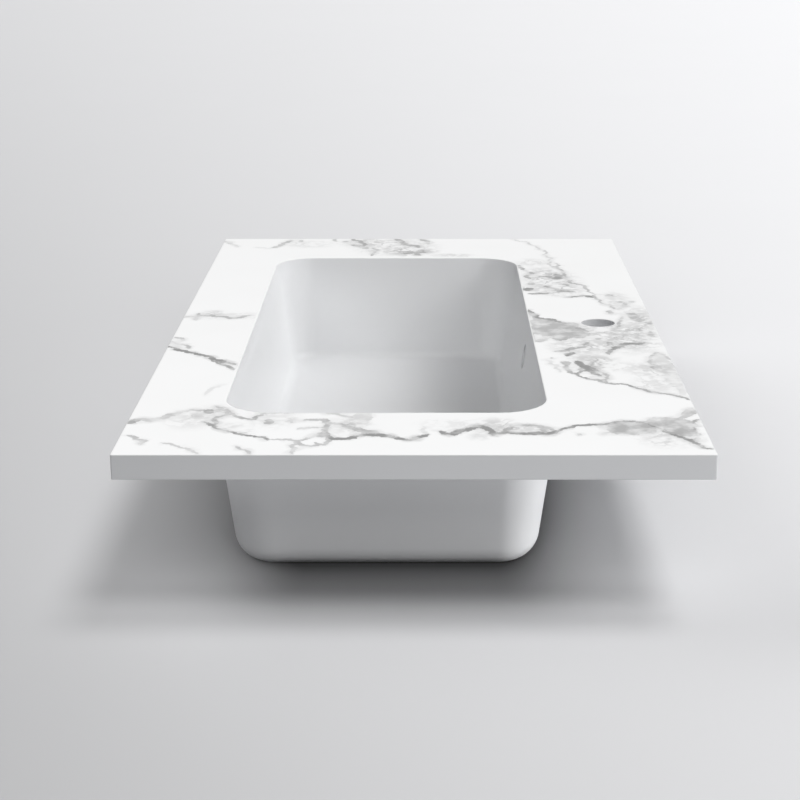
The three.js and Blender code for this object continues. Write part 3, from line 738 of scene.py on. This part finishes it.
def added(tree, kind, *inputs, output=0, **settings):
    # a node with its settings, and for each input its name or number with a number, colour or Value
    made = tree.nodes.new(kind)
    for name, value in settings.items():
        setattr(made, name, value)
    for name, source in inputs:
        if isinstance(source, Value):
            source.feed(made.inputs[name])
        else:
            made.inputs[name].default_value = source
    return Value(tree, made.outputs[output])


def shapeTree(name, **inputs):
    # a tree that takes a mesh, these inputs and a finish
    tree = bpy.data.node_groups.new(name, "GeometryNodeTree")
    for label, kind in (("Geometry", "Geometry"), *inputs.items(), ("Finish", "Material")):
        tree.interface.new_socket(label, in_out="INPUT", socket_type="NodeSocket" + kind)
    tree.interface.new_socket("Geometry", in_out="OUTPUT", socket_type="NodeSocketGeometry")
    return tree, {socket.name: Value(tree, socket) for socket in tree.nodes.new("NodeGroupInput").outputs}


def finishTree(tree, shape, finish):
    # the end that every tree here has: plain geometry with its finish
    real = added(tree, "GeometryNodeRealizeInstances", (0, shape))
    coat = added(tree, "GeometryNodeSetMaterial", ("Geometry", real), ("Material", finish))
    coat.feed(tree.nodes.new("NodeGroupOutput").inputs[0])
    return tree


def runTree(piece, tree, **values):
    # the tree's inputs by name, lengths in millimetres, then the result as a plain mesh
    step = piece.modifiers.new(tree.name, "NODES")
    step.node_group = tree
    for item in tree.interface.items_tree:
        if item.in_out == "INPUT" and item.name in values:
            value = values[item.name]
            step[item.identifier] = value * toMetres if item.socket_type == "NodeSocketFloat" else value
    return applyModifiers(piece)


def threadTree():
    # a ridge that runs round the tube, joined to the tube's own mesh
    tree, given = shapeTree("tubeThread", Radius="Float", Length="Float", Pitch="Float", Ridge="Float",
                            Middle="Float", LowerEnd="Float")
    rounds = given["Length"] / given["Pitch"]
    spiral = added(tree, "GeometryNodeCurveSpiral", ("Resolution", 64), ("Rotations", rounds),
                   ("Start Radius", given["Radius"]), ("End Radius", given["Radius"]), ("Height", given["Length"]))
    upright = added(tree, "GeometryNodeSetCurveNormal", ("Curve", spiral), mode="Z_UP")
    profile = added(tree, "GeometryNodeCurvePrimitiveCircle", ("Resolution", 4), ("Radius", given["Ridge"]))
    ridge = added(tree, "GeometryNodeCurveToMesh", ("Curve", upright), ("Profile Curve", profile),
                  ("Fill Caps", True))
    place = added(tree, "ShaderNodeCombineXYZ", ("Y", given["Middle"]), ("Z", given["LowerEnd"]))
    moved = added(tree, "GeometryNodeTransform", ("Geometry", ridge), ("Translation", place))
    both = added(tree, "GeometryNodeJoinGeometry", (0, given["Geometry"]), (0, moved))
    return finishTree(tree, both, given["Finish"])


def placed(tool, turn):
    # turned about the waste's axis, in degrees
    tool.data.transform(Matrix.Rotation(radians(turn), 4, "Z"))
    tool.data.transform(Matrix.Translation((0, bowlY * toMetres, 0)))
    return tool


def buildWaste():
    w = waste
    body = turnedPiece("wasteBody", [
        (w["bore"], w["seat"]), (w["mouth"], w["seat"]), (w["mouth"], w["top"]),
        (w["flange"] - w["rimInset"], w["top"]), (w["flange"], w["top"] - w["rimFall"]),
        (w["flange"], w["underside"]), (w["tube"], w["underside"]), (w["tube"], w["end"]), (w["bore"], w["end"]),
    ], 0.5, steps=120)
    half, arm = w["slotWidth"] / 2, w["armHalf"]
    slots = [box("slot", (w["bore"] - 3, -half, w["slotBottom"]), (w["tube"] + past, half, w["slotTop"]))
             for _ in range(4)]
    combine(body, "DIFFERENCE", *[placed(soften(slot, 2, 4), 90 * i) for i, slot in enumerate(slots)])
    low, top = w["hubBottom"], w["hubTop"]
    hub = ringPiece("hub", 0, w["hub"], low, top, 0.5, 48)
    arms = [box("arm", (0, -arm, low), (w["bore"] + w["armBite"], arm, top)) for _ in range(3)]
    combine(hub, "UNION", *[placed(soften(tool, 0.4), 90 + 120 * i) for i, tool in enumerate(arms)])
    combine(hub, "DIFFERENCE", ringPiece("hubHole", 0, w["hubHole"], low - past, top + past, 0, 48))
    combine(body, "UNION", hub)
    return runTree(body, threadTree(), Radius=w["tube"] - w["sink"], Pitch=w["pitch"], Ridge=w["ridge"],
                   Length=w["threadTop"] - w["end"] - 2 * w["threadEnd"], Middle=bowlY,
                   LowerEnd=w["end"] + w["threadEnd"], Finish=finishes["chrome"])


def buildNut():
    w = waste
    top, low, rim, lead = w["washerBottom"], w["nutBottom"], w["nutRim"], w["nutLead"]
    nut = ringPiece("wasteNut", 0, w["washer"], top - rim, top, 0.6)
    corner = w["nutHalf"] / cos(pi / 6)
    hexagon = ringPiece("hexagon", 0, corner, low, top - 1, 0, 6)
    chamfer = turnedPiece("chamfer", [(0, low), (w["nutEdge"], low), (corner + 0.5, low + w["nutChamfer"]),
                                      (corner + 0.5, top), (0, top)], 0)
    combine(hexagon, "INTERSECT", chamfer)
    combine(nut, "UNION", hexagon)
    return combine(nut, "DIFFERENCE", turnedPiece("bore", [
        (0, low - past), (w["nutMouth"], low - past), (w["nutMouth"], low), (w["fit"], low + lead),
        (w["fit"], top + past), (0, top + past)], 0))


# Plug and its cartridge
plug = {"radius": 28.5, "underside": -105.7, "edge": 1.5, "dome": 3, "boss": 7.5, "bossBottom": -111.7, "hole": 4.2,
        "sealBottom": -107.2, "sealHole": 7.7, "seal": 25}
stem = {"radius": 4, "top": -106, "plunger": 5.6, "plungerTop": -124, "bottom": -127}
cartridge = {"top": -113.7, "lidBottom": -115.7, "hole": 4.2, "bore": 6, "radius": 8.5, "shoulder": -137,
             "floor": -135, "foot": 5, "bottom": -145}


def buildPlug():
    p = plug
    radius, low, rimTop = p["radius"], p["underside"], p["underside"] + p["edge"]
    sphere = (radius ** 2 + p["dome"] ** 2) / (2 * p["dome"])
    dome = [(share * radius, rimTop + p["dome"] - sphere + sqrt(sphere ** 2 - (share * radius) ** 2))
            for share in (0.97, 0.9, 0.8, 0.7, 0.6, 0.5, 0.4, 0.3, 0.2, 0.1, 0)]
    edge = [(radius - 0.7, low), (radius - 0.15, low + 0.15), (radius, low + 0.7), (radius - 0.05, rimTop - 0.1),
            (radius - 0.35, rimTop + 0.1)]
    return turnedPiece("plugCap", [
        (0, low), (p["hole"], low), (p["hole"], p["bossBottom"]), (p["boss"], p["bossBottom"]), (p["boss"], low),
    ] + edge + dome, 0, 120)


def buildStem():
    t = stem
    return turnedPiece("plugStem", [
        (0, t["bottom"]), (t["plunger"], t["bottom"]), (t["plunger"], t["plungerTop"]),
        (t["radius"], t["plungerTop"]), (t["radius"], t["top"]), (0, t["top"]),
    ], 0.3, 40)


def buildCartridge():
    c = cartridge
    return turnedPiece("plugCartridge", [
        (0, c["bottom"]), (c["foot"], c["bottom"]), (c["foot"], c["shoulder"]), (c["radius"], c["shoulder"]),
        (c["radius"], c["top"]), (c["hole"], c["top"]), (c["hole"], c["lidBottom"]), (c["bore"], c["lidBottom"]),
        (c["bore"], c["floor"]), (0, c["floor"]),
    ], 0.4, 48)


# Fixings under the slab, each set out in two rows
fixings = {"count": 4, "spacing": 165, "reach": 191.25, "length": 44, "width": 22, "thickness": 3, "corner": 5,
           "slotY": 28, "slotWidth": 7, "slotLength": 13, "shank": 2.9, "shankTop": 11, "head": 5.5, "headHeight": 4,
           "socket": 4, "socketDepth": 2.2, "socketTip": 0.5, "headInset": 0.7, "headRise": 0.9, "tip": 0.8}
insert = {"bore": 3.1, "rim": 5.25, "rimHeight": 1.2, "radius": 4.3, "length": 12}


def rowsTree():
    # one fixing repeated along the back row and, turned round, along the front
    tree, given = shapeTree("fixingRows", Count="Int", Spacing="Float", Reach="Float", Middle="Float")
    firstX = (given["Count"] - 1) * given["Spacing"] * -0.5
    start = added(tree, "ShaderNodeCombineXYZ", ("X", firstX), ("Y", given["Reach"]))
    step = added(tree, "ShaderNodeCombineXYZ", ("X", given["Spacing"]))
    row = added(tree, "GeometryNodeMeshLine", ("Count", given["Count"]), ("Start Location", start), ("Offset", step))
    back = added(tree, "GeometryNodeInstanceOnPoints", ("Points", row), ("Instance", given["Geometry"]))
    front = added(tree, "GeometryNodeTransform", ("Geometry", back), ("Rotation", (0, 0, pi)))
    both = added(tree, "GeometryNodeJoinGeometry", (0, back), (0, front))
    middle = added(tree, "ShaderNodeCombineXYZ", ("Y", given["Middle"]))
    moved = added(tree, "GeometryNodeTransform", ("Geometry", both), ("Translation", middle))
    return finishTree(tree, moved, given["Finish"])


def setOut(piece, slotName):
    return runTree(piece, fixingRows, Count=fixings["count"], Spacing=fixings["spacing"], Reach=fixings["reach"],
                   Middle=bowlY, Finish=finishes[slotName])


def buildClip():
    f = fixings
    middleY = f["length"] / 2 - f["slotY"]
    outline = [p[:2] for p in roundedRing(f["width"] / 2, f["length"] / 2, f["corner"], 0, middleY, 8)]
    hole = [p[:2] for p in roundedRing(f["slotWidth"] / 2, f["slotLength"] / 2, f["slotWidth"] / 2, 0, 0, 8)]
    clip = prism("bowlClips", outline[:-1], -f["thickness"], 0)
    combine(clip, "DIFFERENCE", prism("clipSlot", hole, -f["thickness"] - 1, 1))
    return soften(clip, 0.35, 2)


def buildScrew():
    f = fixings
    top, low = -f["thickness"], -f["thickness"] - f["headHeight"]
    screw = turnedPiece("clipScrews", [
        (0, low), (f["head"] - f["headInset"], low), (f["head"], low + f["headRise"]), (f["head"], top),
        (f["shank"], top), (f["shank"], f["shankTop"] - f["tip"]), (f["shank"] - f["tip"], f["shankTop"]),
        (0, f["shankTop"]),
    ], 0.25, 36, middle=(0, 0))
    key, depth = f["socket"] / 2 / cos(pi / 6), f["socketDepth"]
    return combine(screw, "DIFFERENCE", turnedPiece("socket", [
        (0, low - past), (key, low - past), (key, low + depth), (0, low + depth + f["socketTip"])
    ], 0, 6, middle=(0, 0)))


def buildInsert():
    n = insert
    return turnedPiece("clipInserts", [
        (n["bore"], 0), (n["rim"], 0), (n["rim"], n["rimHeight"]), (n["radius"], n["rimHeight"]),
        (n["radius"], n["length"]), (n["bore"], n["length"]),
    ], 0.2, 32, middle=(0, 0))


# Finishes

def newFinish(name, colour, roughness, metallic=0.0, specular=0.5):
    finish = bpy.data.materials.new(name)
    finish.use_nodes = True
    tree = finish.node_tree
    shader = tree.nodes["Principled BSDF"]
    for socket, value in (("Base Color", (*colour, 1)), ("Roughness", roughness), ("Metallic", metallic),
                          ("Specular IOR Level", specular)):
        shader.inputs[socket].default_value = value
    return finish, shader, added(tree, "ShaderNodeTexCoord", output=3)


def plainFinish(name, colour, roughness, metallic=0.0, mottle=0.03, grain=600, bump=0.05, wear=0.06, stretch=None):
    # one colour with slight clouds in it, uneven gloss and a fine grain
    finish, shader, place = newFinish(name, colour, roughness, metallic)
    darker = tuple(c * (1 - 2 * mottle) for c in colour)
    place.noise(14, 4).ranged(0.3, 0.7, 0, 1).tinted(colour, darker).feed(shader.inputs["Base Color"])
    stretched = added(place.tree, "ShaderNodeMapping", ("Scale", stretch), ("Vector", place)) if stretch else place
    fine = stretched.noise(grain)
    gloss = place.noise(45).ranged(0.3, 0.7, -wear, wear)
    gloss += fine.ranged(0.3, 0.7, roughness - wear / 2, roughness + wear / 2)
    gloss.feed(shader.inputs["Roughness"])
    grained = added(place.tree, "ShaderNodeBump", ("Strength", bump), ("Distance", 0.0004), ("Height", fine))
    grained.feed(shader.inputs["Normal"])
    return finish


# the slab's white is darker than the bowl's: partly its own colour, partly painted shade for the dim light on its
# edges
whites = {"slab": (0.63, 0.637, 0.648), "bowl": (0.884, 0.89, 0.9), "marble": (0.93, 0.933, 0.935),
          "vein": (0.31, 0.31, 0.31), "haze": (0.5, 0.5, 0.5), "warm": (0.918, 0.92, 0.92)}


def marbleFinish():
    # veins with a ragged core and a soft feather, and torn clouds, from the values that the mesh carries
    finish, shader, place = newFinish("marbleSheet", whites["marble"], 0.28, specular=0.04)
    edge, shade, cloud = [added(place.tree, "ShaderNodeAttribute", output=2, attribute_name=name)
                          for name in ("veinEdge", "veinShade", "cloud")]
    fine, middling, broad = place.noise(420, 5), place.noise(60, 4), place.noise(9)
    ragged = edge + fine.ranged(0.25, 0.75, -1.1, 1.1)
    core = ragged.ranged(-0.3, 1.6, 1.1, 0, smooth=True) * middling.ranged(0.35, 0.6, 0.5, 1.15)
    feather = (edge + middling.ranged(0.3, 0.7, -3, 4)).ranged(0, 6, 0.34, 0, smooth=True)
    lines = core.to("MAXIMUM", feather) * shade
    torn = (middling * 0.6 + place.noise(150, 5) * 0.4).ranged(0.42, 0.6, 0.1, 1.1, smooth=True)
    strands = (place.noise(34, 5) - 0.5).to("ABSOLUTE").ranged(0, 0.045, 1.25, 0, smooth=True)
    warm = broad.ranged(0.35, 0.75, 0, 1).tinted(whites["marble"], whites["warm"])
    clouded = (cloud * torn.to("MAXIMUM", strands)).tinted(warm, whites["haze"])
    lines.tinted(clouded, whites["vein"]).feed(shader.inputs["Base Color"])
    middling.ranged(0.3, 0.7, 0.3, 0.34).feed(shader.inputs["Roughness"])
    return finish


def glazedFinish(name, colour):
    # smooth cast white with a thin gloss coat over it
    finish = plainFinish(name, colour, 0.3, mottle=0.004, grain=260, bump=0, wear=0.01)
    shader = finish.node_tree.nodes["Principled BSDF"]
    for socket, value in (("Coat Weight", 0.1), ("Specular IOR Level", 0.35), ("Coat Roughness", 0.2)):
        shader.inputs[socket].default_value = value
    return finish


finishes = {
    # the slab's core white, darkened partly as painted shade on its edges
    "slab_white": plainFinish("slabWhiteShaded", whites["slab"], 0.42, mottle=0.006, grain=900, bump=0.03, wear=0.04),
    "marble": marbleFinish(),
    "bowl_white": glazedFinish("bowlWhite", whites["bowl"]),
    "bond": plainFinish("bondBead", (0.86, 0.85, 0.8), 0.6, bump=0.2),
    "duct_plastic": plainFinish("ductPlastic", (0.7, 0.72, 0.74), 0.45, mottle=0.02, grain=1500, bump=0.12),
    "chrome": plainFinish("chromePlate", (0.78, 0.79, 0.8), 0.08, 1.0, mottle=0.01, grain=1200, bump=0.01, wear=0.03),
    "rubber": plainFinish("blackRubber", (0.022, 0.022, 0.024), 0.7, mottle=0.1, grain=1800, bump=0.25),
    "dark_plastic": plainFinish("darkPlastic", (0.045, 0.048, 0.055), 0.45, mottle=0.05, grain=1400, bump=0.12),
    "steel": plainFinish("brushedSteel", (0.5, 0.51, 0.52), 0.34, 1.0, mottle=0.05, grain=500, bump=0.1,
                         stretch=(0.08, 1, 1)),
    "brass": plainFinish("turnedBrass", (0.62, 0.43, 0.16), 0.3, 1.0, mottle=0.06, grain=900, bump=0.08),
}
print("finishes made")

slabCore = dress(buildSlab(), "slab_white", "top_slab")
slabCore.data.materials.append(finishes["bowl_white"])
for face in slabCore.data.polygons:
    # the bowl's white runs up the opening
    middle = face.center / toMetres
    inBasin = abs(middle.x) < basin["length"] / 2 + 1 and abs(middle.y - bowlY) < basin["width"] / 2 + 1
    if abs(face.normal.z) < 0.6 and inBasin and middle.z > basin["flange"]:
        face.material_index = 1
print("slab made")
marbleSheet = dress(buildMarble(), "marble", "marble_surface")
print("marble made")
bowl = dress(buildBowl(), "bowl_white", "bowl")
dress(buildDuct(), "duct_plastic", "overflow_duct")
print("bowl and duct made")

w = waste
dress(buildWaste(), "chrome", "waste_body", angle=35)
dress(buildNut(), "chrome", "waste_nut")
dress(ringPiece("wasteTopGasket", w["fit"], w["gasket"], w["gasketFoot"], w["underside"]), "rubber",
      "waste_top_gasket")
dress(turnedPiece("wasteLowerGasket", [
    (w["fit"], w["coneBottom"]), (w["coneFoot"], w["coneBottom"]), (w["coneTop"], w["ductBottom"]),
    (w["fit"], w["ductBottom"])], 0.6), "rubber", "waste_lower_gasket")
dress(ringPiece("wasteWasher", w["fit"], w["washer"], w["washerBottom"], w["coneBottom"], 0.3), "dark_plastic",
      "waste_washer")
dress(buildPlug(), "chrome", "plug_cap", body="plug")
dress(ringPiece("plugSeal", plug["sealHole"], plug["seal"], plug["sealBottom"], plug["underside"], 0.5), "rubber",
      "plug_seal", body="plug")
dress(buildStem(), "brass", "plug_stem", body="plug")
dress(buildCartridge(), "dark_plastic", "plug_cartridge")
print("waste and plug made")

fixingRows = rowsTree()
for build, slotName, node in ((buildClip, "steel", "bowl_clip"), (buildScrew, "steel", "clip_screw"),
                              (buildInsert, "brass", "clip_insert")):
    dress(setOut(build(), slotName), slotName, *[f"{node}_{n + 1}" for n in range(2 * fixings["count"])])
for node, slotName in (("plug_spring", "steel"), ("bowl_bond_bead", "bond")):
    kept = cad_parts[node]
    kept.data.materials.clear()
    kept.data.materials.append(finishes[slotName])
print("fixings made")


# Stage
stage = {"floorZ": -124, "recessZ": -180, "recessRadius": 43, "recessHalf": 33, "recessBack": 127, "recessCorner": 4,
         "recessSteps": 48, "reach": 40}
# painted shade in the floor's colour around the bowl's foot, in metres, bounded by the slab's shadow
paintedContact = {"halfLength": 0.04, "halfWidth": 0.084, "round": 0.055, "middleY": -0.013, "stretch": 0.19, "fade": 0.047,
           "depth": 0.87, "slabHalfLength": 0.44, "slabHalfWidth": 0.25, "shift": -0.041, "soft": 0.06}
# the floor's painted light: its base, its rise to the right, its fall near the eye and its limits
floorPaintedLight = {"eyeX": 1.5, "base": 0.883, "rise": 0.538, "bend": -0.164, "near": 0.317, "low": 0.45, "high": 0.97,
             "easing": 0.0009, "tint": (0.992, 0.994, 1.01)}
# azimuth from +X towards +Y, tilt from the vertical and spread in degrees, strength
pieceLamps = {"highLamp": (100, 35, 25, 0.54), "rightLamp": (80, 50, 25, 0.84), "sideLamp": (120, 50, 25, 0.56),
              "leftLamp": (330, 50, 25, 0.62), "frontLamp": (25, 52, 25, 0.24), "lowLamp": (60, 65, 25, 0.4)}
marbleLamps = {"topLamp": (70, 15, 25, 3.39)}
bowlLamps = {"cornerLamp": (95, 88, 4, 1.7)}
floorLamps = {"floorKey": (42, 24.5, 20, 0.75), "floorSide": (118, 19, 20, 0.73), "floorFill": (240, 60, 50, 1.1),
              "floorFront": (0, 60, 50, 2.4)}
# near the right front corner, so that the front pales towards it
softBox = {"place": (1.0, 0.8, 0.25), "side": 0.35, "power": 1.35}
sky = {"fill": 0.02, "seen": 0.85, "mirrored": 0.32}
eye = {"place": (1.8725, 0.0109, 0.4869), "pitch": 16.38, "lens": 81.93, "shift": -0.0339, "far": 100}


def beyond(place, middle, half):
    # how far a coordinate lies outside a strip, negative inside it
    return (place - middle).to("ABSOLUTE") - half


def paintedContactShade(x, y):
    # painted shade: the floor's colour darkens towards the bowl's foot, inside the slab's shadow
    c = paintedContact
    ahead = beyond(x, 0, c["halfLength"]).to("MAXIMUM", 0) * c["stretch"]
    aside = beyond(y, c["middleY"], c["halfWidth"]).to("MAXIMUM", 0)
    away = ((ahead * ahead + aside * aside).to("SQRT") - c["round"]).to("MAXIMUM", 0)
    border = beyond(x, 0, c["slabHalfLength"]).to("MAXIMUM", beyond(y, c["shift"], c["slabHalfWidth"]))
    dark = (away / -c["fade"]).to("EXPONENT") * border.ranged(-c["soft"], c["soft"], c["depth"], 0, smooth=True)
    return 1 - dark


def floorFinish():
    # pale, with painted light that makes it brighter to the right and further off
    finish, shader, place = newFinish("paleFloor", (0.8, 0.8, 0.8), 0.9, specular=0.0)
    x, y = [added(place.tree, "ShaderNodeSeparateXYZ", (0, place), output=i) for i in (0, 1)]
    t = floorPaintedLight
    along = x - t["eyeX"]
    reach = (along * along + 1).to("SQRT")
    turn = y / reach
    bright = turn * t["rise"] + turn * turn * t["bend"] + t["base"] - t["near"] / reach
    # down to the low limit with a soft start
    half = (bright - t["low"]) * 0.5
    bright = ((half * half + t["easing"]).to("SQRT") + half + t["low"]).to("MINIMUM", t["high"])
    # with a faint random tone, then darkened by the painted shade near the bowl's foot
    bright = (bright + place.noise(3).ranged(0, 1, -0.004, 0.004)) * paintedContactShade(x, y)
    shade = added(place.tree, "ShaderNodeCombineColor", *enumerate(bright * c for c in t["tint"]))
    shade.feed(shader.inputs["Base Color"])
    return finish


def buildFloor():
    # a wide floor with a recess that takes the waste and the foot of the duct, so that the bowl stands on it
    s = stage
    far, half, back = s["reach"] / toMetres, s["recessHalf"], s["recessBack"]
    cut, count = s["recessCorner"], s["recessSteps"]
    start = asin(half / s["recessRadius"])
    recess = [(s["recessRadius"] * sin(t), bowlY + s["recessRadius"] * cos(t))
              for t in [start + (tau - 2 * start) * i / count for i in range(count + 1)]]
    recess += [(-half, back - cut), (-half + cut, back), (half - cut, back), (half, back - cut)]
    top = flatSheet([(-far, -far), (far, -far), (far, far), (-far, far)], [recess])
    upper, lower = [[(x, y, z) for x, y in recess] for z in (s["floorZ"], s["recessZ"])]
    floor = makePiece("stageFloor", *gather([
        atHeight(top, s["floorZ"]), lofted([upper, lower]), (lower, [tuple(range(len(lower)))]),
    ]))
    floor.data.materials.append(floorFinish())
    return floor


def hangLamps(lamps, name, *pieces, rule="INCLUDE", shine=True):
    # soft suns that light these pieces alone, or with the rule EXCLUDE all but these
    lit = bpy.data.collections.new(name)
    for piece in pieces:
        lit.objects.link(piece)
    for entry in lit.collection_objects:
        entry.light_linking.link_state = rule
    for lampName, (azimuth, tilt, spread, strength) in lamps.items():
        lamp = newObject(lampName, bpy.data.lights.new(lampName, "SUN"))
        lamp.data.energy, lamp.data.angle = strength, radians(spread)
        lamp.rotation_euler = (0, radians(tilt), radians(azimuth))
        lamp.light_linking.receiver_collection = lit
        lamp.visible_glossy = shine
    return lit


def hangSoftBox(lit):
    panel = newObject("softBox", bpy.data.lights.new("softBox", "AREA"))
    panel.data.energy, panel.data.size = softBox["power"], softBox["side"]
    panel.location = softBox["place"]
    panel.rotation_euler = (-panel.location).to_track_quat("-Z", "Y").to_euler()
    panel.visible_camera = False
    panel.light_linking.receiver_collection = lit


def hangSky():
    # a pale studio that the camera and the glossy pieces see
    world = bpy.data.worlds.new("studioSky")
    world.use_nodes = True
    tree = world.node_tree
    seen, mirrored = [added(tree, "ShaderNodeLightPath", output=ray).ranged(0, 1, low, high) for ray, low, high in (
        ("Is Camera Ray", 0, sky["seen"]), ("Is Glossy Ray", sky["fill"], sky["mirrored"]))]
    seen.to("MAXIMUM", mirrored).feed(tree.nodes["Background"].inputs["Strength"])
    tree.nodes["Background"].inputs["Color"].default_value = (1, 1, 1, 1)
    bpy.context.scene.world = world


floor = buildFloor()
hangSoftBox(hangLamps(pieceLamps, "pieceLight", floor, marbleSheet, rule="EXCLUDE"))
hangLamps(marbleLamps, "marbleLight", marbleSheet, shine=False)
hangLamps(bowlLamps, "bowlLight", bowl)
hangLamps(floorLamps, "floorLight", floor)
hangSky()

camera = newObject("camera", bpy.data.cameras.new("camera"))
camera.location = eye["place"]
camera.rotation_euler = (radians(90 - eye["pitch"]), 0, radians(90))
camera.data.lens, camera.data.shift_x = eye["lens"], eye["shift"]
camera.data.clip_end = eye["far"]
bpy.context.scene.camera = camera
bpy.context.scene.view_settings.view_transform = "Standard"
